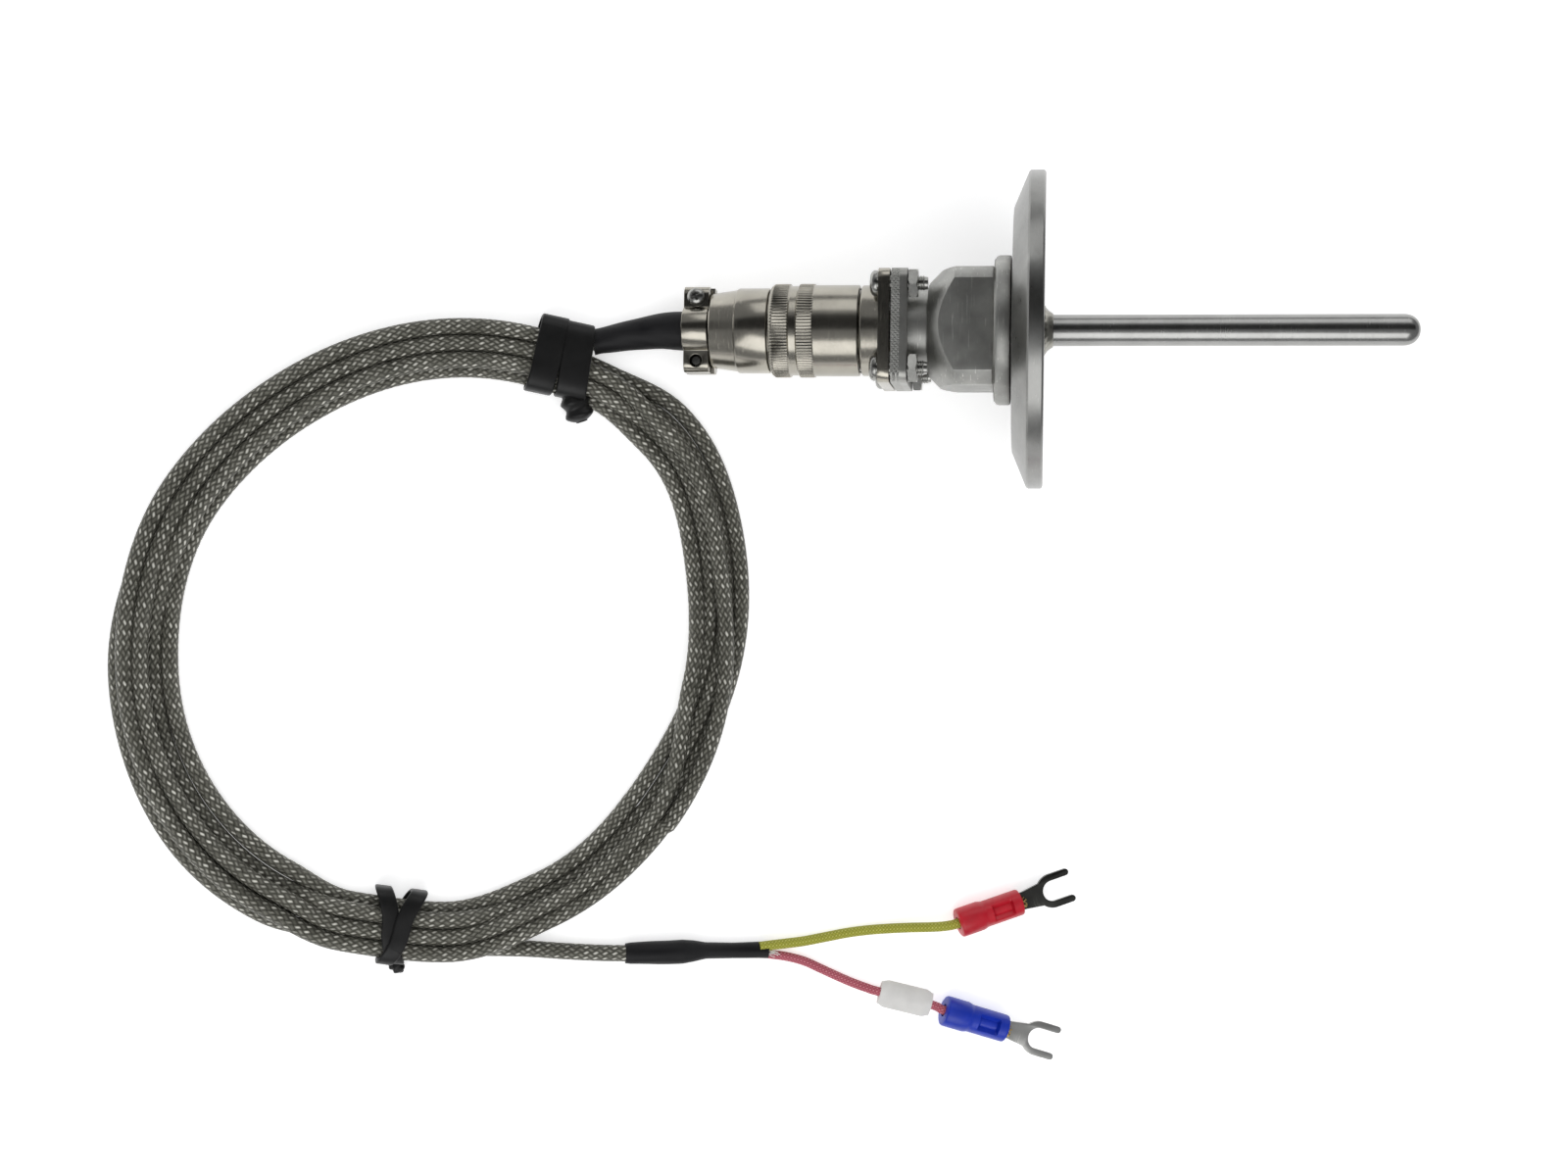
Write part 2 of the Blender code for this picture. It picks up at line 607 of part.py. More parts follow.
def clamp_outline():
    """Half of the cable clamp seen along the axis: (across, height)."""
    hump_centre = CLAMP_HUMP_TOP - CLAMP_HUMP_R
    rise = math.degrees(math.asin((CLAMP_BOSS_H - hump_centre) / CLAMP_HUMP_R))
    side = CLAMP_HALF_WIDTH
    outline = [(side, CLAMP_SPLIT), (side, CLAMP_BOSS_H - 1.2), (side - 1.2, CLAMP_BOSS_H)]
    outline += arc((0.0, hump_centre), CLAMP_HUMP_R, rise, 180 - rise, 12)
    outline += [(1.2 - side, CLAMP_BOSS_H), (-side, CLAMP_BOSS_H - 1.2), (-side, CLAMP_SPLIT)]
    return outline


def clamp_half(name, front, direction, material, axis, collection=None):
    """direction is -1 for the upper half and +1 for the lower one."""
    outline = [(direction * height, across) for across, height in clamp_outline()]
    half = slab(name, [outline], front - CLAMP_END, material, axis, collection)
    half.location = metres((0.0, 0.0, 0.5 * (front + CLAMP_END)))
    return half


def build_backshell(axis):
    shell = turned("backshell", [
        (SHELL_BORE_R, -50.4), (RING_BORE_R - 0.35, -50.4), (RING_BORE_R - 0.35, RING_REAR - GAP),
        (SHELL_R, RING_REAR - GAP), (SHELL_R, SHELL_CONE_START), (SHELL_R - 0.3, SHELL_CONE_START - 0.2),
        (SHELL_END_R, SHELL_END), (SHELL_CABLE_R, SHELL_END), (SHELL_CABLE_R, TAILPIECE_END - 0.5),
        (SHELL_BORE_R, TAILPIECE_END - 0.5),
    ], NICKEL, axis, steps=44)
    lower = make_cutter(clamp_half("clamp_tongue", SHELL_END + 0.3, 1, None, axis, CUTTERS))
    cable_bore = rod_cutter("clamp_bore", CLAMP_BORE_R, 9.0, (0, 0, -70.5), (0, 0, 0), axis, 32)
    combine(shell, lower, "UNION")
    saddle = clamp_half("cable_saddle", SHELL_END - GAP, -1, NICKEL, axis)
    for item in (shell, saddle):
        combine(item, cable_bore, "DIFFERENCE")
    for number, side in ((1, 1), (2, -1)):
        place = (0.0, side * CLAMP_SCREW_Y, CLAMP_SCREW_Z)
        hole = rod_cutter(f"clamp_hole_{number}", CLAMP_SCREW_HOLE_R, 20.0, place,
                          (0.0, math.pi / 2, 0.0), axis, 12)
        combine(shell, hole, "DIFFERENCE")
        combine(saddle, hole, "DIFFERENCE")
        head = CLAMP_BOSS_H + GAP
        screw = turned(f"clamp_screw_{number}", [
            (0.0, head + CLAMP_HEAD_H), (CLAMP_HEAD_R - 0.5, head + CLAMP_HEAD_H),
            (CLAMP_HEAD_R, head + 0.5), (CLAMP_HEAD_R, head), (CLAMP_SCREW_R, head),
            (CLAMP_SCREW_R, 0.6 - CLAMP_BOSS_H), (0.0, 0.6 - CLAMP_BOSS_H),
        ], FASTENER, axis, steps=14)
        screw.location = metres(place)
        screw.rotation_euler = (0.0, -side * math.pi / 2, 0.0)


# --- lead --------------------------------------------------------------------
def axis_point(z):
    """A point of the probe's axis in the ground frame."""
    return (AXIS_X + z * math.cos(SLANT), 0.0, AXIS_Z + z * math.sin(SLANT))


def build_plug_sleeve():
    route = [axis_point(z) for z in (-61.5, -66.0, -70.0, CLAMP_END)] + SLEEVE_ROUTE
    radii = [SLEEVE_R] * 4 + [3.8, 3.5, 3.15, 2.85, SLEEVE_END_R]
    tube("plug_sleeve", smooth_route(route, 3), SLEEVE_R, SHRINK,
         radii=spread(radii, 3), resolution=3)


def build_coil():
    outer = 0.5 * (COIL_SEMI_LONG + COIL_SEMI_SHORT)
    inner = outer - COIL_WIDTH
    soft = 1.8
    coil = turned("cable_coil", [
        (outer - soft, COIL_TOP), (outer - 0.5, COIL_TOP - 0.6), (outer, COIL_TOP - soft),
        (outer, COIL_BOTTOM + soft), (outer - soft, COIL_BOTTOM), (inner + soft, COIL_BOTTOM),
        (inner, COIL_BOTTOM + soft), (inner, COIL_TOP - soft), (inner + 0.5, COIL_TOP - 0.6),
        (inner + soft, COIL_TOP),
    ], BRAID, None, steps=56)
    coil.location = metres((*COIL_CENTRE, 0.0))
    coil.rotation_euler = (0.0, 0.0, COIL_LONG_ANGLE)
    coil.scale = (COIL_SEMI_LONG / outer, COIL_SEMI_SHORT / outer, 1.0)


def coil_middle(angle):
    """Middle of the coil's turns towards a ground angle, and the way out from there."""
    turn = angle - COIL_LONG_ANGLE
    long_side, short_side = COIL_SEMI_LONG - COIL_WIDTH / 2, COIL_SEMI_SHORT - COIL_WIDTH / 2
    reach = 1.0 / math.hypot(math.cos(turn) / long_side, math.sin(turn) / short_side)
    outward = math.atan2(math.sin(turn) / short_side ** 2, math.cos(turn) / long_side ** 2)
    place = (COIL_CENTRE[0] + reach * math.cos(angle), COIL_CENTRE[1] + reach * math.sin(angle))
    return place, outward + COIL_LONG_ANGLE


def build_tie(name, angle, width):
    """A flat band round the coil's turns."""
    half_x = COIL_WIDTH / 2 + TIE_SLACK
    half_y = (COIL_TOP - COIL_BOTTOM) / 2 + GAP
    inner = rounded_box(half_x, half_y, 0.9, 2)
    outer = rounded_box(half_x + TIE_THICK, half_y + TIE_THICK, 1.5, 2)
    band = slab(name, [outer, inner], width, TIE, None)
    place, outward = coil_middle(angle)
    band.location = metres((*place, 0.5 * (COIL_TOP + COIL_BOTTOM)))
    band.rotation_euler = (math.pi / 2, 0.0, outward)


def build_marker():
    start, end = Vector(MARKER_START), Vector(MARKER_END)
    along = (end - start).normalized()
    length = (end - start).length
    across = Vector((-along.y, along.x, 0.0)).normalized()
    half = length / 2
    narrow, wide = 0.42 * MARKER_WIDTH, 0.5 * MARKER_WIDTH
    outline = [(-half, -narrow), (-half + 1.2, -wide), (half - 1.2, -wide), (half, -narrow),
               (half, narrow), (half - 1.2, wide), (-half + 1.2, wide), (-half, narrow)]
    marker = slab("marker_sleeve", [outline], MARKER_THICK, MARKER, None)
    bevel = marker.modifiers.new("soft_edges", "BEVEL")
    bevel.width = 0.8 * MM
    bevel.segments = 3
    turn = Matrix((along, across, along.cross(across))).transposed().to_4x4()
    marker.matrix_world = Matrix.Translation(metres((start + end) / 2)) @ turn


def ground_axis(name, place, angle):
    """An empty whose local X runs along a terminal on the ground."""
    empty = bpy.data.objects.new(name, None)
    PARTS.objects.link(empty)
    empty.location = metres((*place, BOOT_AXIS_Z))
    empty.rotation_euler = (0.0, 0.0, angle)
    return empty


def build_terminal(colour, place, angle, material, rear_r, front_r):
    """An insulated fork terminal: a vinyl boot round the fork's barrel."""
    base = ground_axis(f"{colour}_terminal", place, angle)
    length = BOOT_LENGTH
    step = 6.5
    boot = turned(f"{colour}_boot", [
        (BOOT_BORE_R, length), (front_r - 0.3, length), (front_r, length - 0.4),
        (front_r, length - 5.0), (rear_r, step - 1.0), (rear_r, 0.4), (rear_r - 0.4, 0.0),
        (BOOT_REAR_BORE_R, 0.0), (BOOT_REAR_BORE_R, step), (BOOT_BORE_R, step),
    ], material, base, steps=28)
    boot.rotation_euler = (0.0, math.pi / 2, 0.0)
    half = FORK_WIDTH / 2
    slot_r = FORK_GAP / 2
    neck = 1.9
    slot_end = FORK_LENGTH - FORK_SLOT_DEPTH + slot_r
    prong = half - slot_r
    outline = [(-1.0, -neck), (1.0, -neck)]
    outline += arc((slot_end, 0.0), half, 225, 270, 4)
    outline += arc((FORK_LENGTH - prong / 2, -half + prong / 2), prong / 2, -90, 90, 4)
    outline += arc((slot_end, 0.0), slot_r, 270, 90, 10)
    outline += arc((FORK_LENGTH - prong / 2, half - prong / 2), prong / 2, -90, 90, 4)
    outline += arc((slot_end, 0.0), half, 90, 135, 4)
    outline += [(1.0, neck), (-1.0, neck)]
    blade = [(x + length, y) for x, y in outline]
    fork = slab(f"{colour}_fork", [blade], FORK_THICK, TIN, base)
    barrel_rear = step + GAP
    barrel_length = length - 0.5 - barrel_rear
    barrel = rod_cutter(f"{colour}_fork_barrel", FORK_BARREL_R, barrel_length,
                        (barrel_rear + barrel_length / 2, 0.0, 0.0), (0.0, math.pi / 2, 0.0), base, 20)
    combine(fork, barrel, "UNION")


def boot_entry(place, angle):
    """Two points on a boot's axis: its mouth, and where the conductor stops."""
    inside = 6.2
    return [(place[0] + d * math.cos(angle), place[1] + d * math.sin(angle), BOOT_AXIS_Z)
            for d in (0.0, inside)]


def build_lead_end():
    tube("cable_tail", smooth_route(TAIL_ROUTE, 3), CABLE_R, BRAID)
    tube("split_sleeve", smooth_route(SPLIT_ROUTE, 3), SPLIT_RADII[0], SHRINK,
         radii=spread(SPLIT_RADII, 3))
    yellow = YELLOW_ROUTE + boot_entry(RED_BOOT_REAR, RED_BOOT_ANGLE)
    tube("yellow_conductor", smooth_route(yellow, 2), YELLOW_R, YELLOW)
    tube("red_conductor", smooth_route(RED_ROUTE, 2), RED_R, RED)
    build_marker()
    heading = (Vector(MARKER_END) - Vector(MARKER_START)).normalized()
    start = Vector(MARKER_END) + (GAP + 0.1) * heading
    last = [tuple(start)] + boot_entry(BLUE_BOOT_REAR, BLUE_BOOT_ANGLE)
    tube("red_conductor_end", smooth_route(last, 4), RED_R, RED)
    build_terminal("red", RED_BOOT_REAR, RED_BOOT_ANGLE, RED_VINYL, 3.15, 2.85)
    build_terminal("blue", BLUE_BOOT_REAR, BLUE_BOOT_ANGLE, BLUE_VINYL, 3.25, 2.95)


def build():
    axis = probe_axis()
    bolt_bores = [
        rod_cutter(f"bolt_bore_{number}", SCREW_HOLE_R, 12.0, (x, y, -30.0), (0, 0, 0), axis, 14)
        for number, (x, y) in enumerate(bolt_places(), start=1)
    ]
    build_process_flange(axis)
    build_sheath(axis)
    build_sensor(axis)
    build_adapter(axis, bolt_bores)
    build_receptacle(axis, bolt_bores)
    build_inserts(axis)
    build_square_fasteners(axis)
    build_plug(axis)
    build_backshell(axis)
    build_plug_sleeve()
    build_coil()
    build_tie("tie_upper", UPPER_TIE_ANGLE, UPPER_TIE_WIDTH)
    build_tie("tie_lower", LOWER_TIE_ANGLE, LOWER_TIE_WIDTH)
    build_lead_end()


build()
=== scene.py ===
"""The looks of the clamp-flange thermocouple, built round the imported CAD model.

Lengths in the constants are millimetres; MM turns them into metres.  Probe and
plug pieces are made in the probe's own frame: local Z runs up the probe from
the flange's front face, and local -X is the upper side.
"""
import json
import math
import random

import bmesh
import bpy
import numpy as np
from mathutils import Matrix, Vector


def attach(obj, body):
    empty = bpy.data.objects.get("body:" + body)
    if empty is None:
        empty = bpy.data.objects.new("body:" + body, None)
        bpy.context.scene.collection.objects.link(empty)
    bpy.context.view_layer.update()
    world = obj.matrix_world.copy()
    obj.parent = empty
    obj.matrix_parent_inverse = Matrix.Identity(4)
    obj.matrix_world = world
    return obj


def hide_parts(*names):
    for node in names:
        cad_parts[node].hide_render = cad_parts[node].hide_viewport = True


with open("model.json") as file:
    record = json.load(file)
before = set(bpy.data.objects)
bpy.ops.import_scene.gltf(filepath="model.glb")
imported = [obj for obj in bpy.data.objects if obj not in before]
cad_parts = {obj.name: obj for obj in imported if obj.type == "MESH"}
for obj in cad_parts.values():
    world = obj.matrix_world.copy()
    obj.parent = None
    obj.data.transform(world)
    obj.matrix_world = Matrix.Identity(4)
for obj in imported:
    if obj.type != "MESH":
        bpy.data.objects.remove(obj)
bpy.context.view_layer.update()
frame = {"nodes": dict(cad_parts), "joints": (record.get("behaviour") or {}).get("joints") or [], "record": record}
MM = 0.001

# --- the probe's axis, from the record ------------------------------------------
JOINTS = {joint["name"]: joint for joint in frame["joints"]}
MOUNTS = {mount["name"]: mount for mount in frame["record"]["mounts"]}
AXIS = Vector(JOINTS["probe_pull"]["axis"]).normalized()
FACE = Vector(MOUNTS["process_clamp_face"]["pos_m"])
FLANGE_CENTRE = Vector((FACE.x, 0.0, FACE.z))
ACROSS = Vector((0.0, 1.0, 0.0))
PROBE = Matrix.Translation(FLANGE_CENTRE) @ Matrix(
    (ACROSS.cross(AXIS), ACROSS, AXIS)).transposed().to_4x4()


def on_axis(z):
    """The point of the probe's axis that is z millimetres up from the flange's face."""
    return FLANGE_CENTRE + AXIS * z * MM


# --- mesh helpers ------------------------------------------------------------------
def new_object(name, vertices, faces, material, matrix=None):
    mesh = bpy.data.meshes.new(name)
    mesh.from_pydata([tuple(v) for v in vertices], [], [tuple(f) for f in faces])
    item = bpy.data.objects.new(name, mesh)
    bpy.context.scene.collection.objects.link(item)
    if material:
        mesh.materials.append(material)
    if matrix is not None:
        item.matrix_world = matrix
    return item


def clean(item, weld=0.0, sliver=0.0):
    """Merge points closer than weld, drop edges shorter than sliver and face the surface outwards."""
    solid = bmesh.new()
    solid.from_mesh(item.data)
    if weld:
        bmesh.ops.remove_doubles(solid, verts=solid.verts, dist=weld)
    if sliver:
        bmesh.ops.dissolve_degenerate(solid, edges=solid.edges, dist=sliver)
    bmesh.ops.recalc_face_normals(solid, faces=solid.faces)
    solid.to_mesh(item.data)
    solid.free()


def apply_modifiers(item):
    shape = item.evaluated_get(bpy.context.evaluated_depsgraph_get())
    finished = bpy.data.meshes.new_from_object(shape)
    item.modifiers.clear()
    item.data = finished


def shade(item, sharp):
    """Smooth the surface, but for edges sharper than so many degrees."""
    item.data.shade_smooth()
    item.data.set_sharp_from_angle(angle=math.radians(sharp))


def tidy(item, sharp, bevel=0.0, segments=2):
    """Round the item's edges by bevel millimetres, face it outwards and smooth it."""
    if bevel:
        rounding = item.modifiers.new("rounding", "BEVEL")
        rounding.width = bevel * MM
        rounding.segments = segments
        rounding.limit_method = "ANGLE"
        rounding.angle_limit = math.radians(30)
        rounding.use_clamp_overlap = True
        apply_modifiers(item)
    clean(item, weld=0.000002)
    shade(item, sharp)


def lathe(name, profile, material, steps=96, shape=None, matrix=None, offset=(0.0, 0.0)):
    """Turn (radius, z) points about Z.  shape(radius, z, angle) may change the radius."""
    closed = profile[0][0] > 0.0
    vertices, faces = [], []
    for radius, z in profile:
        for step in range(steps):
            angle = math.tau * step / steps
            r = shape(radius, z, angle) if shape else radius
            vertices.append(((offset[0] + r * math.cos(angle)) * MM,
                             (offset[1] + r * math.sin(angle)) * MM, z * MM))
    rows = len(profile)
    for row in range(rows if closed else rows - 1):
        below = (row + 1) % rows
        for step in range(steps):
            beside = (step + 1) % steps
            faces.append((row * steps + step, row * steps + beside,
                          below * steps + beside, below * steps + step))
    item = new_object(name, vertices, faces, material, PROBE if matrix is None else matrix)
    clean(item, weld=0.000001, sliver=0.0000005)
    return item


def prism(name, outline, low, high, material, matrix=None):
    """A flat outline of (x, y) points, run from z = low to z = high."""
    count = len(outline)
    vertices = [(x * MM, y * MM, z * MM) for z in (low, high) for x, y in outline]
    faces = [tuple(range(count))[::-1], tuple(range(count, 2 * count))]
    faces += [(i, (i + 1) % count, count + (i + 1) % count, count + i) for i in range(count)]
    item = new_object(name, vertices, faces, material, PROBE if matrix is None else matrix)
    clean(item)
    return item


def arc(centre, radius, start, end, steps):
    """Points round a centre, from one angle in degrees to another."""
    return [(centre[0] + radius * math.cos(math.radians(start + (end - start) * i / steps)),
             centre[1] + radius * math.sin(math.radians(start + (end - start) * i / steps)))
            for i in range(steps + 1)]


def rounded_box(half_x, half_y, corner, steps=6):
    outline = []
    for sign_x, sign_y, start in ((1, 1, 0), (-1, 1, 90), (-1, -1, 180), (1, -1, 270)):
        centre = (sign_x * (half_x - corner), sign_y * (half_y - corner))
        outline += arc(centre, corner, start, start + 90, steps)
    return outline


def carve(item, cutters, operation="DIFFERENCE"):
    """Boolean each cutter into the item, then delete the cutters."""
    for cutter in cutters:
        boolean = item.modifiers.new("cut", "BOOLEAN")
        boolean.object = cutter
        boolean.operation = operation
        boolean.solver = "EXACT"
    bpy.context.view_layer.update()
    apply_modifiers(item)
    for cutter in cutters:
        bpy.data.objects.remove(cutter, do_unlink=True)


def rod(radius, low, high, place=(0.0, 0.0), steps=32, matrix=None):
    """A plain cylinder to carve with."""
    profile = [(0.0, high), (radius, high), (radius, low), (0.0, low)]
    return lathe("cutter", profile, None, steps, matrix=matrix, offset=place)


def along(points):
    """The distance run at each point of a path."""
    return np.concatenate(([0.0], np.cumsum(np.linalg.norm(np.diff(points, axis=0), axis=1))))


def sweep(name, points, section, material, ups=None):
    """Run a closed cross-section along points, with end caps and UVs.

    section is a list of (x, y) millimetre points, or a function of the station
    that gives one.  ups, if given, sets the section's y direction at each point.
    """
    points = np.array(points, float)
    count = len(points)
    ahead = np.gradient(points, axis=0)
    ahead /= np.linalg.norm(ahead, axis=1)[:, None]
    lift = np.array(ups, float) if ups is not None else None
    up = np.array((0.0, 0.0, 1.0)) if abs(ahead[0][2]) < 0.9 else np.array((1.0, 0.0, 0.0))
    rings = []
    for index in range(count):
        if lift is not None:
            up = lift[index]
        up = up - ahead[index] * np.dot(up, ahead[index])
        up /= np.linalg.norm(up)
        side = np.cross(up, ahead[index])
        outline = section(index) if callable(section) else section
        rings.append([points[index] + side * x * MM + up * y * MM for x, y in outline])
    sides = len(rings[0])
    vertices = np.array(rings).reshape(-1, 3)
    faces = []
    for row in range(count - 1):
        for step in range(sides):
            beside = (step + 1) % sides
            faces.append((row * sides + step, row * sides + beside,
                          (row + 1) * sides + beside, (row + 1) * sides + step))
    faces.append(tuple(range(sides))[::-1])
    faces.append(tuple(range((count - 1) * sides, count * sides)))
    item = new_object(name, vertices.tolist(), faces, material)
    run = along(points)
    layer = item.data.uv_layers.new(name="run")
    coords = np.zeros((len(item.data.loops), 2))
    index = 0
    for row in range(count - 1):
        for step in range(sides):
            coords[index:index + 4] = ((run[row], step / sides), (run[row], (step + 1) / sides),
                                       (run[row + 1], (step + 1) / sides), (run[row + 1], step / sides))
            index += 4
    layer.data.foreach_set("uv", coords.ravel())
    shade(item, 50)
    return item


def circle(radius, sides):
    return [(radius * math.cos(math.tau * i / sides), radius * math.sin(math.tau * i / sides))
            for i in range(sides)]


def smooth_route(route, step):
    """Millimetre route points to metre points about step apart on one smooth curve."""
    knots = [Vector(point) for point in route]
    ends = [2 * knots[0] - knots[1]] + knots + [2 * knots[-1] - knots[-2]]
    points = []
    for before, start, end, after in zip(ends, ends[1:], ends[2:], ends[3:]):
        parts = max(1, round((end - start).length / step))
        for part in range(parts):
            t = part / parts
            points.append(0.5 * (2 * start + (end - before) * t
                                 + (2 * before - 5 * start + 4 * end - after) * t ** 2
                                 + (3 * start - before - 3 * end + after) * t ** 3))
    points.append(knots[-1])
    return [tuple(point * MM) for point in points]


# --- material helpers -----------------------------------------------------------------
class Nodes:
    """A material's node tree, with short calls to add nodes to it."""

    def __init__(self, name, colour, roughness, metallic=0.0):
        self.material = bpy.data.materials.new(name)
        self.material.use_nodes = True
        self.tree = self.material.node_tree
        self.shader = self.tree.nodes["Principled BSDF"]
        self.set("Base Color", (*colour, 1.0))
        self.set("Roughness", roughness)
        self.set("Metallic", metallic)

    def set(self, socket, value):
        self.shader.inputs[socket].default_value = value

    def add(self, kind, **inputs):
        node = self.tree.nodes.new(kind)
        for key, value in inputs.items():
            socket = key.replace("_", " ")
            if hasattr(value, "is_output"):
                self.tree.links.new(value, node.inputs[socket])
            else:
                node.inputs[socket].default_value = value
        return node

    def link(self, output, socket):
        self.tree.links.new(output, self.shader.inputs[socket])

    def coords(self, scale, rotation=(0.0, 0.0, 0.0)):
        """Object coordinates, in metres, stretched and turned."""
        source = self.tree.nodes.new("ShaderNodeTexCoord").outputs["Object"]
        return self.add("ShaderNodeMapping", Vector=source, Scale=scale, Rotation=rotation).outputs[0]

    def noise(self, vector, scale, detail=3.0, roughness=0.5):
        return self.add("ShaderNodeTexNoise", Vector=vector, Scale=scale, Detail=detail,
                        Roughness=roughness).outputs[0]

    def math(self, operation, first, second=0.0, third=None):
        node = self.tree.nodes.new("ShaderNodeMath")
        node.operation = operation
        for socket, value in zip(node.inputs, (first, second, third)):
            if value is None:
                continue
            if hasattr(value, "is_output"):
                self.tree.links.new(value, socket)
            else:
                socket.default_value = value
        return node.outputs[0]

    def plus(self, first, second):
        return self.math("ADD", first, second)

    def times(self, first, second):
        return self.math("MULTIPLY", first, second)

    def scaled(self, value, factor, offset):
        """value * factor + offset"""
        return self.math("MULTIPLY_ADD", value, factor, offset)

    def ramp(self, factor, stops):
        node = self.add("ShaderNodeValToRGB", Fac=factor)
        ramp = node.color_ramp
        while len(ramp.elements) < len(stops):
            ramp.elements.new(0.5)
        for element, (place, colour) in zip(ramp.elements, stops):
            element.position = place
            element.color = (*colour, 1.0)
        return node.outputs[0]

    def grey_ramp(self, factor, stops):
        return self.ramp(factor, [(place, (value,) * 3) for place, value in stops])

    def bump(self, height, strength, distance):
        return self.add("ShaderNodeBump", Height=height, Strength=strength, Distance=distance).outputs[0]


def metal(name, colour, roughness, rings=0.0, grain=(1.0, 1.0, 1.0), wear=0.35, marks=0.4, spread=0.12):
    """Bare metal.  rings is how fine the lathe lines along local Z are; grain stretches the
    fine scratches; wear, marks and spread set how uneven colour, scratches and gloss are."""
    nodes = Nodes(name, colour, roughness, 1.0)
    cloud = nodes.noise(nodes.coords((160,) * 3), 1.0, 4.0)
    fine = nodes.noise(nodes.coords(tuple(3000 * g for g in grain)), 1.0, 3.0, 0.6)
    scratch = nodes.noise(nodes.coords((900, 120, 4200), rotation=(0.3, 0.5, 0.2)), 1.0, 2.0, 0.7)
    dark = tuple(c * (1.0 - wear) for c in colour)
    cuts = nodes.math("GREATER_THAN", scratch, 0.66)
    bright = tuple(min(1.0, 1.6 * c) for c in colour)
    tone = nodes.scaled(cuts, 0.35 * marks, cloud)
    nodes.link(nodes.ramp(tone, [(0.3, dark), (0.65, colour), (1.0, bright)]), "Base Color")
    level = nodes.scaled(fine, spread, roughness - 0.5 * spread)
    level = nodes.scaled(cloud, 0.5 * spread, level)
    nodes.link(level, "Roughness")
    height = fine
    if rings:
        lines = nodes.noise(nodes.coords((0.0, 0.0, rings)), 1.0, 2.0, 0.7)
        height = nodes.scaled(lines, 0.8, nodes.times(fine, 0.3))
    height = nodes.scaled(cuts, -marks, height)
    nodes.link(nodes.bump(height, 0.35, 0.00003), "Normal")
    return nodes.material


def plastic(name, colour, roughness, grain=900.0, relief=0.25, vary=0.12, shine=0.5):
    """Moulded plastic, rubber or ceramic with a fine grain; vary is how uneven its colour is."""
    nodes = Nodes(name, colour, roughness)
    nodes.set("Specular IOR Level", shine)
    cloud = nodes.noise(nodes.coords((220,) * 3), 1.0, 4.0)
    fine = nodes.noise(nodes.coords((grain,) * 3), 1.0, 4.0, 0.6)
    darker = tuple(c * (1.0 - 2.0 * vary) for c in colour)
    lighter = tuple(min(1.0, c * (1.0 + vary)) for c in colour)
    nodes.link(nodes.ramp(cloud, [(0.3, darker), (0.7, lighter)]), "Base Color")
    nodes.link(nodes.scaled(fine, 0.25, roughness - 0.12), "Roughness")
    nodes.link(nodes.bump(fine, relief, 0.00005), "Normal")
    return nodes.material


def braid(name, dark, mid, bright, carriers, pitch, metallic, roughness, relief, glint):
    """A tubular braid: two families of flat strands that wind opposite ways round the UVs.

    carriers is the number of strands each way; pitch is the length in metres in which a strand goes once round;
    glint is how far the painted gleams differ from strand to strand. dark, mid and bright are the painted shade
    between the strands, the strands' own colour and the painted gleam on them.
    """
    nodes = Nodes(name, mid, roughness, metallic)
    uv = nodes.tree.nodes.new("ShaderNodeUVMap").outputs[0]
    parts = nodes.add("ShaderNodeSeparateXYZ", Vector=uv)
    run, turn = parts.outputs[0], parts.outputs[1]
    wind = nodes.times(run, 1.0 / pitch)
    first = nodes.times(nodes.plus(turn, wind), float(carriers))
    second = nodes.times(nodes.math("SUBTRACT", turn, wind), float(carriers))

    def strand(phase):
        """A strand's rounded back with its wires on it."""
        crown = nodes.times(nodes.math("PINGPONG", phase, 0.5), 2.0)
        crown = nodes.math("POWER", crown, 0.6)
        wires = nodes.math("PINGPONG", nodes.times(phase, 5.0), 0.5)
        return nodes.scaled(wires, 0.45, nodes.times(crown, 0.8))

    columns, rows = nodes.math("FLOOR", first), nodes.math("FLOOR", second)
    over = nodes.math("FLOORED_MODULO", nodes.plus(columns, rows), 2.0)
    under = nodes.math("SUBTRACT", 1.0, over)
    height = nodes.plus(nodes.times(strand(first), over),
                        nodes.times(strand(second), under))
    cell = nodes.add("ShaderNodeCombineXYZ", X=columns, Y=rows, Z=0.0).outputs[0]
    lot = nodes.tree.nodes.new("ShaderNodeTexWhiteNoise")
    lot.noise_dimensions = "2D"
    nodes.tree.links.new(cell, lot.inputs["Vector"])

    def hump(phase, sharp):
        """1 in the middle of a strand and 0 at its edges, narrower as sharp grows."""
        half_turn = nodes.times(nodes.math("FRACT", phase), math.pi)
        return nodes.math("POWER", nodes.math("SINE", half_turn), sharp)

    def painted_gleams(across_phase, along_phase):
        """A painted highlight: a long narrow gleam down the middle of each strand where it lies on top."""
        return nodes.times(hump(across_phase, 3.2), hump(along_phase, 0.7))

    # Painted highlight in the base colour: the gleam is full on strands that lie on top and under half on strands
    # that pass underneath (painted shade).
    painted_gleam = nodes.plus(nodes.times(painted_gleams(first, second), over),
                      nodes.times(painted_gleams(second, first), nodes.times(under, 0.45)))
    painted_gleam = nodes.times(painted_gleam, nodes.scaled(lot.outputs[0], glint, 1.0 - glint))
    patch = nodes.noise(nodes.coords((200,) * 3), 1.0, 3.0)
    # Painted shade: the tone follows the strands' relief, lighter on their crowns and darker in the gaps between
    # them.
    tone = nodes.scaled(patch, 0.2, nodes.scaled(height, 0.2, -0.06))
    tone = nodes.scaled(painted_gleam, 0.95, tone)
    nodes.link(nodes.ramp(tone, [(0.05, dark), (0.4, mid), (0.9, bright)]), "Base Color")
    nodes.link(nodes.scaled(lot.outputs[0], 0.2, roughness - 0.1), "Roughness")
    nodes.link(nodes.bump(height, 1.0, relief), "Normal")
    return nodes.material


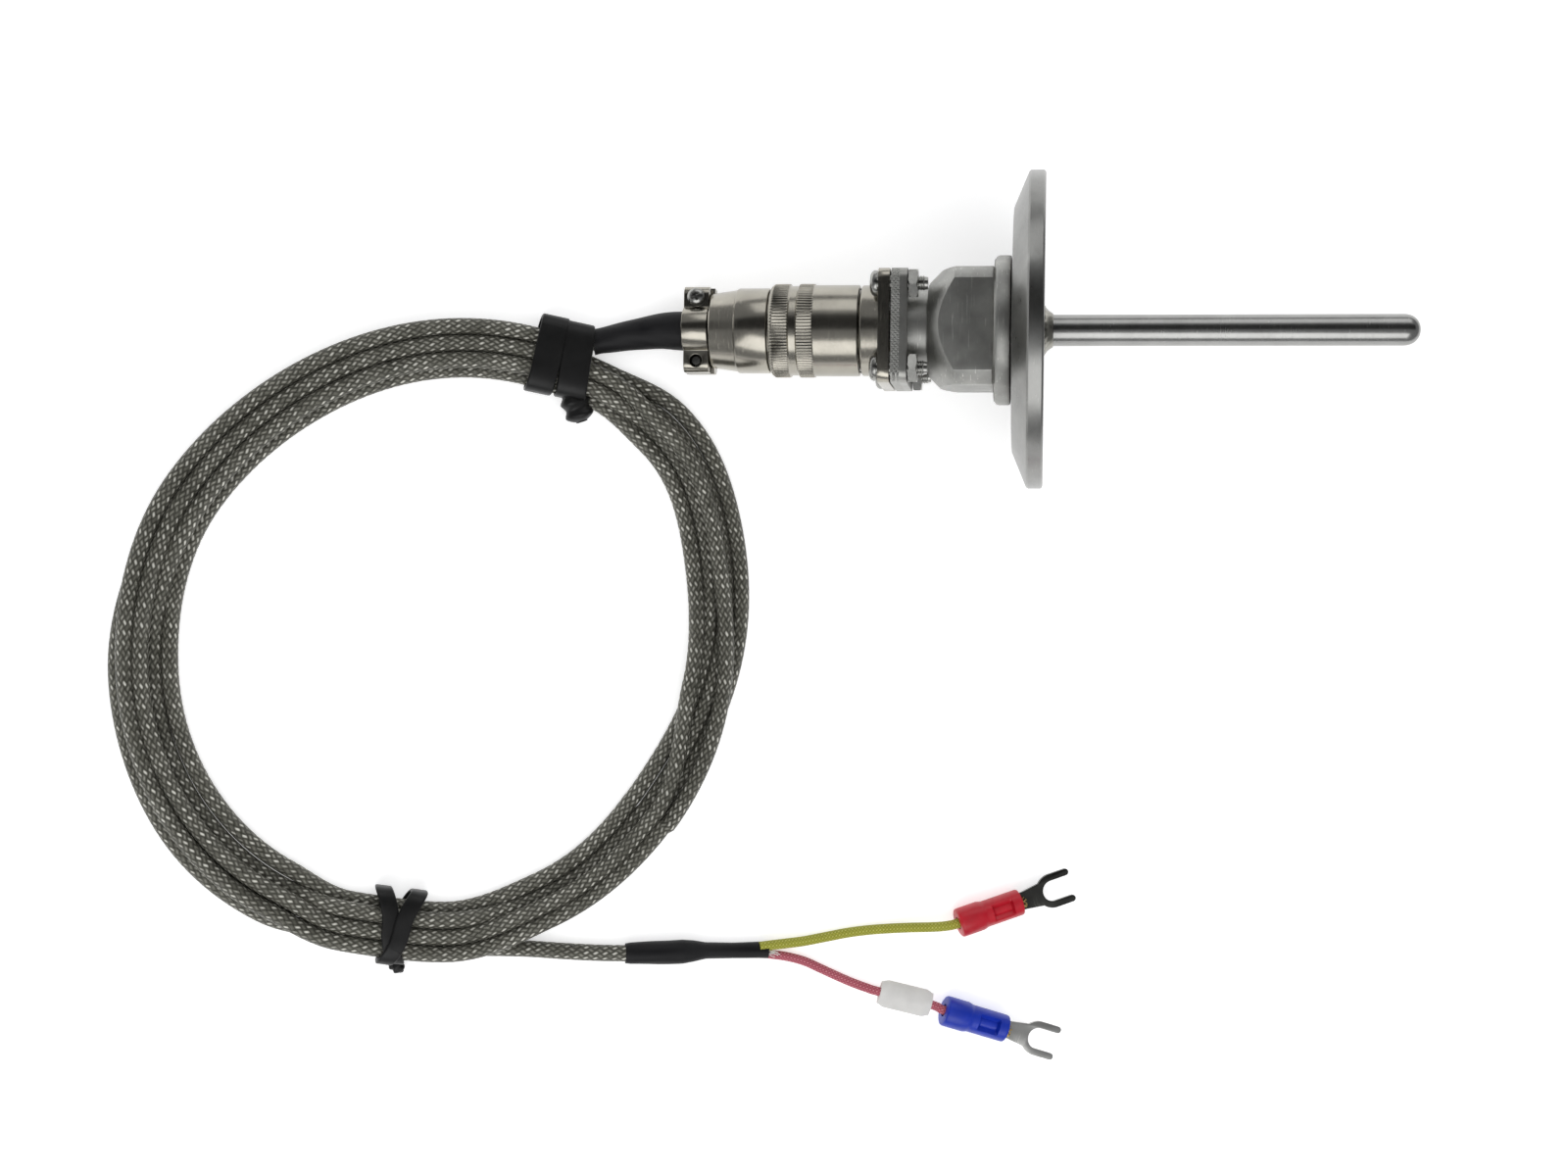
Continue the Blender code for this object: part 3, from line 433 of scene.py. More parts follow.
def shrink(name):
    """Black heat-shrink sleeve: dull, faintly pebbled, with shallow wrinkles whose hollows are painted a shade
    darker.
    """
    nodes = Nodes(name, (0.01, 0.01, 0.011), 0.5)
    nodes.set("Specular IOR Level", 0.22)
    wrinkle = nodes.noise(nodes.coords((60, 420, 420)), 1.0, 3.0)
    pebble = nodes.noise(nodes.coords((2600,) * 3), 1.0, 3.0)
    # Painted shade: the black follows the wrinkles' height, darker in their hollows and lighter on their crests.
    crease_shaded_blacks = [(0.3, (0.006, 0.006, 0.007)), (0.7, (0.014, 0.014, 0.015))]
    nodes.link(nodes.ramp(wrinkle, crease_shaded_blacks), "Base Color")
    nodes.link(nodes.scaled(wrinkle, 0.3, 0.36), "Roughness")
    height = nodes.scaled(wrinkle, 1.0, nodes.times(pebble, 0.12))
    nodes.link(nodes.bump(height, 0.5, 0.00025), "Normal")
    return nodes.material


# --- materials --------------------------------------------------------------------------
SHEATH_STEEL = metal("sheath_steel", (0.36, 0.36, 0.35), 0.22, rings=900, grain=(0.2, 0.2, 1.0), wear=0.15)
FLANGE_STEEL = metal("flange_steel", (0.29, 0.29, 0.28), 0.27, rings=2600, grain=(0.25, 0.25, 1.0), wear=0.2)
MILLED_STEEL = metal("milled_steel", (0.42, 0.42, 0.4), 0.44, rings=1500, grain=(0.3, 1.0, 0.5), wear=0.35,
                     marks=1.0)
NICKEL = metal("nickel", (0.4, 0.38, 0.33), 0.19, rings=1800, grain=(0.4, 0.4, 1.0), wear=0.2)
NICKEL_CAST = metal("nickel_cast", (0.4, 0.38, 0.33), 0.2, grain=(1.0, 1.0, 1.0), wear=0.2, marks=0.1,
                    spread=0.06)
BOLT_STEEL = metal("bolt_steel", (0.4, 0.4, 0.38), 0.22, grain=(0.6, 0.6, 0.6), wear=0.3)
WELD_STEEL = metal("weld_steel", (0.36, 0.35, 0.31), 0.28, grain=(0.5, 0.5, 0.5), wear=0.45)
GOLD = metal("contact_gold", (0.8, 0.6, 0.24), 0.28, grain=(0.5, 0.5, 1.0), wear=0.2)
ALLOY = metal("thermo_alloy", (0.42, 0.4, 0.37), 0.38, grain=(0.5, 0.5, 1.0), wear=0.3)
TIN = metal("tin_plate", (0.62, 0.62, 0.6), 0.36, grain=(0.5, 1.0, 0.5), wear=0.25)
# The red fork's tin plate painted dark: a painted dark reflection of its surroundings, a shaded copy of the same
# tin as the blue fork's.
TIN_PAINTED_DARK_REFLECTION = metal("tin_painted_dark_reflection", (0.13, 0.13, 0.12), 0.2, grain=(0.5, 1.0, 0.5), wear=0.5)
BRASS = metal("brass_strand", (0.7, 0.5, 0.2), 0.3, grain=(0.5, 1.0, 0.5), wear=0.2)
INSERT_BLACK = plastic("insert_black", (0.03, 0.03, 0.03), 0.5)
CERAMIC = plastic("ceramic", (0.78, 0.76, 0.7), 0.75, grain=1800)
RESIN = plastic("potting_resin", (0.12, 0.1, 0.07), 0.4)
RUBBER = plastic("seal_rubber", (0.03, 0.03, 0.03), 0.7)
TIE_BLACK = plastic("tie_black", (0.008, 0.008, 0.008), 0.4, grain=700, relief=0.3, shine=0.3)
RED_VINYL = plastic("red_vinyl", (0.5, 0.006, 0.02), 0.36, grain=600, relief=0.2, vary=0.08)
BLUE_VINYL = plastic("blue_vinyl", (0.004, 0.03, 0.42), 0.36, grain=600, relief=0.2, vary=0.08)
MARKER_WHITE = plastic("marker_white", (0.68, 0.67, 0.65), 0.5, grain=500, relief=0.35, vary=0.05)
SHRINK_BLACK = shrink("shrink_black")
# Each braid's first colour is painted shade between its strands, and its third is the painted gleam on them.
CABLE_BRAID = braid("cable_braid", (0.05, 0.049, 0.038), (0.19, 0.186, 0.155), (0.76, 0.75, 0.68),
                    9, 0.018, 0.4, 0.36, 0.0002, 0.75)
YELLOW_BRAID = braid("yellow_braid", (0.25, 0.25, 0.02), (0.42, 0.42, 0.05), (0.55, 0.55, 0.14),
                     8, 0.006, 0.0, 0.7, 0.00008, 0.3)
RED_BRAID = braid("red_braid", (0.33, 0.05, 0.08), (0.52, 0.12, 0.16), (0.66, 0.3, 0.33),
                  8, 0.006, 0.0, 0.7, 0.00008, 0.3)
GLASS_FLUFF = plastic("glass_fluff", (0.8, 0.79, 0.76), 0.7, grain=2000)

SLOT_MATERIALS = {
    "stainless": FLANGE_STEEL, "milled_stainless": MILLED_STEEL, "nickel_plate": NICKEL,
    "fastener_steel": BOLT_STEEL, "contact_gold": GOLD, "black_insert": INSERT_BLACK,
    "ceramic": CERAMIC, "potting_resin": RESIN, "seal_rubber": RUBBER, "thermo_wire": ALLOY,
    "black_shrink": SHRINK_BLACK, "steel_braid": CABLE_BRAID, "coil_braid": CABLE_BRAID,
    "black_tie": TIE_BLACK, "yellow_glass_braid": YELLOW_BRAID, "red_glass_braid": RED_BRAID,
    "white_marker": MARKER_WHITE, "red_vinyl": RED_VINYL, "blue_vinyl": BLUE_VINYL,
    "tinned_copper": TIN,
}


def finish_cad_nodes():
    """Give every CAD node its slot's material; the ones that stay in view keep their CAD shape."""
    slots = {part["node"]: part["material_slot"] for part in frame["record"]["subparts"]}
    for name, item in frame["nodes"].items():
        item.data.materials.clear()
        item.data.materials.append(SLOT_MATERIALS[slots[name]])
        item.data.shade_smooth()


# --- the probe ------------------------------------------------------------------------------
FLANGE_R = 32.0
SHEATH_R = 3.175
SHEATH_TIP = 74.0
BOLT_OFFSET = 8.5
BOLT_HOLE_R = 1.75
FLATS_ACROSS = 23.5
SCREW_HEAD_SEAT, NUT_SEAT = -33.3, -26.9
NUT_ACROSS_FLATS = 5.5
PLATE_HALF = 11.5                                     # both square plates
PLATE_CORNER = 2.4
PLATE_FRONT, PLATE_REAR = -27.2, -30.4                # the adapter's plate
SOCKET_PLATE_FRONT, SOCKET_PLATE_REAR = -30.7, -33.0  # the receptacle's plate


def build_flange():
    profile = [(3.45, 0.0), (31.3, 0.0), (31.75, -0.12), (FLANGE_R, -0.45), (FLANGE_R, -2.95),
               (31.75, -3.3), (31.4, -3.5), (25.2, -6.05), (24.7, -6.25), (24.0, -6.33),
               (17.0, -6.4), (3.45, -6.4)]
    flange = lathe("flange_disc", profile, FLANGE_STEEL, steps=160)
    tidy(flange, sharp=20)
    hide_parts("process_flange")
    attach(flange, "probe")


def build_sheath():
    profile = [(0.0, SHEATH_TIP)]
    for degrees in range(10, 91, 10):
        a = math.radians(degrees)
        profile.append((SHEATH_R * math.sin(a) ** 0.9, SHEATH_TIP - 3.2 * (1 - math.cos(a))))
    profile += [(SHEATH_R, z) for z in (55.0, 30.0, 4.0, -11.0)]
    profile += [(2.3, -11.0), (2.3, 71.0), (1.3, 72.2), (0.0, 72.5)]
    tube = lathe("sheath", profile, SHEATH_STEEL, steps=64)
    tidy(tube, sharp=50)
    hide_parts("sheath_tube")
    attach(tube, "probe")

    def ripple(radius, z, angle):
        """The weld's overlapping puddles, strongest at its foot."""
        height = max(0.0, min(1.0, (1.6 - z) / 1.4))
        return radius + 0.16 * height * abs(math.sin(9 * angle + 2.2 * z))

    bead = [(3.2, 1.75), (3.4, 1.72), (3.55, 1.5), (3.75, 1.1), (4.05, 0.65), (4.5, 0.3), (4.9, 0.06),
            (4.9, 0.0), (3.2, 0.0)]
    weld = lathe("sheath_fillet", bead, WELD_STEEL, steps=180, shape=ripple)
    tidy(weld, sharp=60)
    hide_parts("sheath_weld")
    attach(weld, "probe")


def bolt_places():
    return [(x * BOLT_OFFSET, y * BOLT_OFFSET) for x in (-1, 1) for y in (-1, 1)]


def build_adapter():
    profile = [(3.45, -6.7), (14.7, -6.7), (15.0, -6.8), (15.1, -7.1), (15.1, -9.1), (14.9, -9.6),
               (14.3, -10.0), (14.85, -10.25), (14.9, -10.5), (14.9, -17.8), (9.6, -23.1), (9.2, -23.3),
               (8.35, -23.35), (8.25, -23.7), (8.25, -30.4), (4.9, -30.4), (4.9, -11.6), (3.45, -11.6)]
    adapter = lathe("adapter", profile, MILLED_STEEL, steps=128)
    half = FLATS_ACROSS / 2
    flats = []
    for x, y in ((1, 0), (-1, 0), (0, 1), (0, -1)):
        near, far = half, half + 8.0
        xs = (min(x * near, x * far), max(x * near, x * far)) if x else (-20.0, 20.0)
        ys = (min(y * near, y * far), max(y * near, y * far)) if y else (-20.0, 20.0)
        outline = [(xs[0], ys[0]), (xs[1], ys[0]), (xs[1], ys[1]), (xs[0], ys[1])]
        flats.append(prism("cutter", outline, -24.3, -10.05, None))
    carve(adapter, flats)
    plate = prism("cutter", rounded_box(PLATE_HALF, PLATE_HALF, PLATE_CORNER), PLATE_REAR, PLATE_FRONT,
                  None)
    carve(plate, [rod(6.6, -31.0, -26.0)])
    carve(adapter, [plate], "UNION")
    carve(adapter, [rod(BOLT_HOLE_R, -31.0, -26.0, place, 24) for place in bolt_places()])
    tidy(adapter, sharp=28, bevel=0.12)
    adapter.data.materials.append(knurled_steel())
    for face in adapter.data.polygons:
        z = face.center.z / MM
        outward = max(abs(face.center.x), abs(face.center.y)) / MM
        on_plate = PLATE_REAR + 0.05 < z < PLATE_FRONT - 0.05 and outward > PLATE_HALF - 2.5
        if on_plate and abs(face.normal.z) < 0.3:
            face.material_index = 1
    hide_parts("adapter_body")
    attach(adapter, "probe")


def knurled_steel():
    """The square plate's edge: a fine diamond knurl over its connector half."""
    nodes = Nodes("plate_edge", (0.38, 0.38, 0.36), 0.42, 1.0)
    place = nodes.tree.nodes.new("ShaderNodeTexCoord").outputs["Object"]
    parts = nodes.add("ShaderNodeSeparateXYZ", Vector=place)
    across = nodes.plus(parts.outputs[0], parts.outputs[1])
    depth = parts.outputs[2]
    pitch = 1.0 / 0.0009
    first = nodes.math("SINE", nodes.times(nodes.plus(across, depth), pitch * math.tau))
    second = nodes.math("SINE", nodes.times(nodes.math("SUBTRACT", across, depth),
                                           pitch * math.tau))
    diamonds = nodes.times(nodes.plus(first, 1.0), nodes.plus(second, 1.0))
    inside = nodes.math("LESS_THAN", depth, -0.0287)
    patch = nodes.noise(nodes.coords((260,) * 3), 1.0, 3.0)
    fade = nodes.grey_ramp(patch, [(0.2, 0.3), (0.4, 1.0)])
    height = nodes.times(nodes.times(diamonds, inside), fade)
    nodes.link(nodes.bump(height, 0.9, 0.00008), "Normal")
    nodes.link(nodes.ramp(patch, [(0.3, (0.34, 0.34, 0.32)), (0.7, (0.44, 0.44, 0.42))]), "Base Color")
    return nodes.material


def build_receptacle():
    profile = [(6.6, -30.7), (9.25, -30.7), (9.25, -36.5), (9.15, -36.8), (8.9, -36.9), (7.5, -36.9),
               (7.5, -44.7), (7.3, -45.0), (6.6, -45.0)]
    shell = lathe("receptacle", profile, NICKEL, steps=112)
    plate = prism("cutter", rounded_box(PLATE_HALF, PLATE_HALF, PLATE_CORNER), SOCKET_PLATE_REAR,
                  SOCKET_PLATE_FRONT, None)
    carve(plate, [rod(7.6, -34.0, -30.0)])
    carve(shell, [plate], "UNION")
    carve(shell, [rod(BOLT_HOLE_R, -34.0, -30.0, place, 24) for place in bolt_places()])
    tidy(shell, sharp=28, bevel=0.18)
    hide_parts("receptacle_shell")
    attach(shell, "probe")


def thread(radius, depth, low, high, pitch):
    """A screw's side as (radius, z) ridges."""
    points = []
    z = high
    while z > low + pitch:
        points += [(radius, z), (radius, z - 0.15 * pitch), (radius - depth, z - 0.55 * pitch),
                   (radius - depth, z - 0.7 * pitch)]
        z -= pitch
    return points


def cross_recess(size, depth, top, matrix):
    """Two crossed bars that sink depth below z = top."""
    wide, narrow = size, 0.24 * size
    bars = []
    for half_x, half_y in ((wide, narrow), (narrow, wide)):
        outline = [(-half_x, -half_y), (half_x, -half_y), (half_x, half_y), (-half_x, half_y)]
        bars.append(prism("cutter", outline, top - depth, top + 1.0, None, matrix))
    return bars


def build_fasteners():
    flip = Matrix.Rotation(math.pi, 4, "X")
    corner = NUT_ACROSS_FLATS / 2 / math.cos(math.radians(30))
    random.seed(5)
    for number, (x, y) in enumerate(bolt_places(), start=1):
        place = PROBE @ Matrix.Translation(Vector((x, y, SCREW_HEAD_SEAT)) * MM)
        turn = Matrix.Rotation(random.uniform(0.0, math.pi), 4, "Z")
        local = place @ flip @ turn
        profile = [(0.0, 1.5), (1.3, 1.48), (1.9, 1.36), (2.35, 1.05), (2.6, 0.6), (2.6, 0.0), (1.5, 0.0)]
        profile += thread(1.5, 0.2, -10.0, -3.2, 0.5) + [(1.2, -10.1), (0.0, -10.2)]
        screw = lathe(f"square_screw_{number}", profile, BOLT_STEEL, steps=40, matrix=local)
        carve(screw, cross_recess(1.35, 0.9, 1.5, local))
        tidy(screw, sharp=32)
        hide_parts(f"flange_screw_{number}")
        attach(screw, "probe")
        spin = PROBE @ Matrix.Translation(Vector((x, y, NUT_SEAT)) * MM)
        spin = spin @ Matrix.Rotation(random.uniform(-0.2, 0.2), 4, "Z")
        hexagon = arc((0.0, 0.0), corner, 0, 300, 5)
        nut = prism(f"hex_nut_{number}", hexagon, 0.0, 1.8, BOLT_STEEL, spin)
        dome = lathe("cutter", [(0.0, 2.4), (1.9, 2.4), (3.35, 1.35), (3.35, 0.45), (2.6, -0.3), (0.0, -0.3)],
                     None, 48, matrix=spin)
        carve(nut, [dome], "INTERSECT")
        carve(nut, [rod(1.62, -1.0, 3.0, (0.0, 0.0), 24, spin)])
        tidy(nut, sharp=25, bevel=0.08)
        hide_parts(f"flange_nut_{number}")
        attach(nut, "probe")


# --- the plug --------------------------------------------------------------------------------
def build_coupling_ring():
    teeth = 90
    front, rear = -37.3, -55.4
    bands = ((-46.45, -49.65), (-51.45, -55.0))

    def knurl(radius, z, angle):
        for high, low in bands:
            if low < z < high and radius > 9.0:
                end = min(high - z, z - low)
                phase = (angle * teeth / math.tau) % 1.0
                tooth = 0.5 - 0.5 * math.cos(math.tau * phase)
                return radius - 0.22 * (1.0 - tooth) * min(1.0, end / 0.25)
        return radius

    profile = [(8.95, front), (9.2, front - 0.08), (9.3, front - 0.3), (9.3, -46.2), (9.4, -46.4),
               (9.5, -46.5), (9.55, -46.8), (9.55, -49.3), (9.5, -49.6), (9.3, -49.72), (9.15, -49.9),
               (9.15, -51.2), (9.3, -51.36), (9.5, -51.5), (9.55, -51.8), (9.55, -54.5), (9.45, -54.8),
               (9.05, -55.3), (8.9, rear), (8.6, rear), (8.6, -48.5), (7.3, -48.5), (7.3, -46.9),
               (8.6, -46.9), (8.6, front)]
    ring = lathe("knurled_ring", profile, NICKEL, steps=teeth * 6, shape=knurl)
    tidy(ring, sharp=34)
    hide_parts("coupling_ring")
    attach(ring, "coupling")


CLAMP_SCREW_Z = -70.7
CLAMP_SCREW_OFFSET = 6.5
CLAMP_REAR = -73.3
CLAMP_BORE_R, CLAMP_SCREW_HOLE_R = 4.2, 1.3


def clamp_outline(direction):
    """Half of the cable clamp across the axis, as local (x, y); direction -1 is up."""
    hump_centre, hump_r, boss, side = 2.9, 4.6, 4.2, 8.8
    rise = math.degrees(math.asin((boss - hump_centre) / hump_r))
    right = arc((side - 1.9, boss - 1.9), 1.9, 0, 90, 6)
    left = arc((1.9 - side, boss - 1.9), 1.9, 90, 180, 6)
    outline = [(side, 0.25)] + right + arc((0.0, hump_centre), hump_r, rise, 180 - rise, 24) + left
    outline += [(-side, 0.25)]
    return [(direction * height, across) for across, height in outline]


def clamp_holes():
    """The hole for the cable and the two for the screws that cross it."""
    across = PROBE @ Matrix.Translation(Vector((0.0, 0.0, CLAMP_SCREW_Z)) * MM)
    across = across @ Matrix.Rotation(math.pi / 2, 4, "Y")
    screws = [rod(CLAMP_SCREW_HOLE_R, -10.0, 10.0, (0.0, side * CLAMP_SCREW_OFFSET), 24, across)
              for side in (1, -1)]
    return [rod(CLAMP_BORE_R, -75.0, -66.0, (0.0, 0.0), 48)] + screws


def build_backshell():
    profile = [(7.3, -50.4), (8.25, -50.4), (8.25, -55.6), (8.45, -55.7), (8.7, -55.95), (8.7, -62.1),
               (8.6, -62.35), (8.35, -62.55), (7.65, -67.55), (7.45, -67.8), (5.0, -67.8), (5.0, -60.5),
               (7.3, -60.5)]
    shell = lathe("backshell_body", profile, NICKEL, steps=112)
    tongue = prism("cutter", clamp_outline(1), CLAMP_REAR, -67.5, None)
    carve(shell, [tongue], "UNION")
    carve(shell, clamp_holes())
    tidy(shell, sharp=28, bevel=0.2)
    saddle = prism("saddle", clamp_outline(-1), CLAMP_REAR, -68.1, NICKEL_CAST)
    carve(saddle, clamp_holes())
    tidy(saddle, sharp=28, bevel=0.45, segments=4)
    for item, node in ((shell, "backshell"), (saddle, "cable_saddle")):
        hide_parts(node)
        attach(item, "lead")
    for number, side in ((1, 1), (2, -1)):
        place = PROBE @ Matrix.Translation(Vector((0.0, side * CLAMP_SCREW_OFFSET, CLAMP_SCREW_Z)) * MM)
        local = place @ Matrix.Rotation(-side * math.pi / 2, 4, "Y") @ Matrix.Rotation(0.5, 4, "Z")
        head = [(0.0, 5.65), (0.9, 5.6), (1.45, 5.35), (1.75, 4.95), (1.75, 4.5), (1.0, 4.5)]
        profile = head + thread(1.0, 0.14, -3.6, 3.6, 0.4) + [(0.8, -3.6), (0.0, -3.65)]
        screw = lathe(f"saddle_screw_{number}", profile, BOLT_STEEL, steps=40, matrix=local)
        carve(screw, cross_recess(0.95, 0.7, 5.65, local))
        tidy(screw, sharp=32)
        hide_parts(f"clamp_screw_{number}")
        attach(screw, "lead")


# --- the lead -----------------------------------------------------------------------------------
CABLE_D = 3.4
YELLOW_D, RED_D = 2.1, 1.9
BOOT_LENGTH = 14.5
SLEEVE_ROUTE = [(-72.6, -0.05, 5.95), (-76.0, -0.35, 4.95), (-80.0, -1.0, 4.05), (-84.0, -1.85, 3.4),
                (-87.4, -2.6, 3.0)]
TAIL_ROUTE = [(-98.5, -127.7, 1.75), (-92.0, -128.3, 1.75), (-85.0, -128.8, 1.9), (-78.7, -129.0, 2.3)]
SPLIT_ROUTE = [(-78.9, -129.0, 2.35), (-72.0, -129.0, 2.5), (-66.5, -128.9, 2.4), (-62.0, -128.9, 2.1),
               (-55.0, -129.0, 1.9), (-48.6, -129.1, 1.85)]
YELLOW_ROUTE = [(-48.3, -128.05, 2.45), (-44.5, -127.8, 1.9), (-40.6, -127.5, 1.35), (-36.0, -126.8, 1.1),
                (-31.2, -126.0, 1.1), (-26.5, -125.5, 1.2), (-22.0, -125.2, 1.6), (-17.5, -125.0, 2.25),
                (-13.0, -124.9, 2.85), (-10.0, -124.7, 3.15)]
RED_ROUTE = [(-48.3, -130.1, 1.05), (-44.5, -130.7, 1.0), (-40.5, -131.8, 1.0), (-37.0, -133.4, 1.0),
             (-33.4, -135.1, 1.0), (-30.0, -136.6, 1.05), (-26.8, -137.8, 1.25), (-24.3, -138.6, 1.45)]
RED_BOOT_REAR, RED_BOOT_ANGLE = (-7.2, -124.15, 3.25), math.radians(17.5)
BLUE_BOOT_REAR, BLUE_BOOT_ANGLE = (-10.2, -142.7, 3.25), math.radians(-17.5)
MARKER_START, MARKER_END = (-24.0, -138.75, 1.5), (-12.9, -141.55, 2.35)

# The coil: 5.5 turns, which a lead of about 2 m makes at the coil's size.
COIL_CENTRE = (-117.8, -63.7)
COIL_LONG, COIL_SHORT = 60.4, 56.3            # middle of the bundle
COIL_TILT = math.radians(51.0)
# where the bundle leaves its ellipse: (angle, spread in degrees, millimetres outwards)
COIL_LEANS = ((40, 18, 3.0), (120, 38, -1.7), (258, 12, -1.0), (297, 24, 2.1))
# where the ties hold the bundle tight: (angle, how tight)
COIL_HOLD = ((0, 0.0), (44, 0.0), (58, 1.0), (150, 1.0), (188, 0.0), (238, 0.0), (252, 1.0),
             (272, 1.0), (292, 0.0), (360, 0.0))
# each turn's place in the bundle, (outwards, height), as it lies loose and as it is tied
LOOSE_SLOTS = [(3.4, 4.7), (0.0, 4.7), (-5.1, 1.75), (-1.7, 1.75), (1.7, 1.75), (5.1, 1.75)]
TIED_SLOTS = [(5.2, 4.75), (1.8, 4.75), (-3.3, 1.75), (-1.6, 4.75), (0.1, 1.75), (3.5, 1.75)]
SHIFT_START, SHIFT_SPAN = -40.0, 60.0
START_ANGLE, END_ANGLE = 76.0, 270.0 + 5 * 360.0
TIE_UPPER_ANGLE, TIE_LOWER_ANGLE = 74.0, 262.0


def coil_place(angle, across, height):
    """A point of the bundle at a ground angle in degrees."""
    turn = math.radians(angle) - COIL_TILT
    reach = 1.0 / math.hypot(math.cos(turn) / COIL_LONG, math.sin(turn) / COIL_SHORT)
    for centre, spread, amount in COIL_LEANS:
        reach += amount * math.exp(-(((angle - centre + 180.0) % 360.0 - 180.0) / spread) ** 2)
    heading = math.radians(angle)
    reach += across
    return (COIL_CENTRE[0] + reach * math.cos(heading), COIL_CENTRE[1] + reach * math.sin(heading), height)


def wander(angle, seed):
    """A slow sideways wander that is different for each turn."""
    a = math.radians(angle)
    return (math.sin(a * 1.7 + 2.1 * seed) + 0.6 * math.sin(a * 3.1 + 1.3 * seed)
            + 0.3 * math.sin(a * 7.3 + 4.0 * seed))


def ease(t):
    """0 to 1 with a gentle start and end."""
    t = max(0.0, min(1.0, t))
    return t * t * (3 - 2 * t)


def coil_points():
    """The turns.  Each keeps its slot most of the way round, then all move to the next together.

    Lap 2 comes down from the upper layer, so it moves sideways first and then sinks.
    """
    points = []
    steps = int((END_ANGLE - START_ANGLE) / 1.2)
    for step in range(steps + 1):
        angle = START_ANGLE + (END_ANGLE - START_ANGLE) * step / steps
        lap = max(0, math.floor((angle - SHIFT_START) / 360.0))
        moved = (angle - SHIFT_START) % 360.0 / SHIFT_SPAN if lap else 1.0
        sideways, sinking = (ease(2 * moved), ease(2 * moved - 1)) if lap == 2 else (ease(moved),) * 2
        held = ease(float(np.interp(angle % 360.0, *zip(*COIL_HOLD))))

        def slot(table):
            new, old = table[lap], table[max(0, lap - 1)]
            return old[0] + (new[0] - old[0]) * sideways, old[1] + (new[1] - old[1]) * sinking

        loose, tied = slot(LOOSE_SLOTS), slot(TIED_SLOTS)
        across = loose[0] + (tied[0] - loose[0]) * held
        height = loose[1] + (tied[1] - loose[1]) * held
        sway = 0.32 if height > 3.0 else 0.1
        across += sway * (1.0 - held) * wander(angle, lap + 1)
        if lap == 5:
            across += 0.9 * math.exp(-((angle % 360.0 - 222.0) / 17.0) ** 2)
        points.append(coil_place(angle, across, height))
    return points


def cable_route():
    inside = [tuple(on_axis(z) / MM) for z in (-64.0, -68.0, -71.0)]
    join = [(-91.2, -2.9, 3.6), (-96.0, -2.3, 4.45)]
    leave = [(-110.5, -127.1, 1.8), (-104.0, -127.4, 1.75)]
    route = inside + SLEEVE_ROUTE + join + coil_points() + leave + TAIL_ROUTE + [(-74.0, -129.0, 2.45)]
    return smooth_route(route, 1.2)


def build_cable():
    points = cable_route()
    cable = sweep("braided_cable", points, circle(CABLE_D / 2, 16), CABLE_BRAID)
    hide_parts("cable_coil", "cable_tail")
    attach(cable, "lead")
    return cable, points


def build_plug_sleeve():
    route = [tuple(on_axis(z) / MM) for z in (-61.5, -66.0, -70.0, CLAMP_REAR)] + SLEEVE_ROUTE
    points = smooth_route(route, 0.6)
    run = along(points)
    marks = [0.0, 4.5, 8.5, 11.8, 14.2, 18.0, 22.3, 26.4, 30.0]
    radii = [3.9, 3.9, 3.95, 4.05, 3.95, 3.6, 3.2, 2.9, 2.62]

    def section(index):
        s = run[index] / MM
        radius = float(np.interp(s, marks, radii))
        lip = 0.12 * math.exp(-((s - run[-1] / MM) / 0.7) ** 2)
        outline = []
        for x, y in circle(1.0, 40):
            angle = math.atan2(y, x)
            fold = 0.05 * math.sin(3 * angle + 0.35 * s) + 0.03 * math.sin(5 * angle - 0.8 * s)
            outline.append((x * (radius + lip + fold), y * (radius + lip + fold)))
        return outline

    sleeve = sweep("clamp_sleeve", points, section, SHRINK_BLACK)
    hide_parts("plug_sleeve")
    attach(sleeve, "lead")
    return sleeve


def bundle_frame(angle):
    """Centre, outward and tangent directions of the bundle at a ground angle in degrees."""
    centre = Vector(coil_place(angle, 0.0, 0.0)) * MM
    ahead = Vector(coil_place(angle + 1.0, 0.0, 0.0)) * MM
    tangent = (ahead - centre).normalized()
    outward = Vector((tangent.y, -tangent.x, 0.0))
    return centre, outward, tangent


def flat_section(width, thick):
    return rounded_box(width / 2, thick / 2, 0.45 * thick, 3)


def wrap(name, angle, shift, lean, half_width, middle, top, width, phase):
    """One flat band once round the bundle.  shift and lean move it along the bundle."""
    centre, outward, tangent = bundle_frame(angle)
    points, ups = [], []
    steps, squareness, low, thick = 64, 0.55, 0.45, 0.8
    for step in range(steps + 1):
        a = phase + math.tau * step / steps
        c, s = math.cos(a), math.sin(a)
        x = middle + half_width * math.copysign(abs(c) ** squareness, c)
        z = 0.5 * (low + top) + 0.5 * (top - low) * math.copysign(abs(s) ** squareness, s)
        place = centre + outward * x * MM + tangent * (shift + lean * c) * MM
        points.append((place.x, place.y, place.z + z * MM))
        ups.append(tuple(outward * c + Vector((0.0, 0.0, 1.0)) * s))
    return sweep(name, points, flat_section(width, thick), TIE_BLACK, ups)


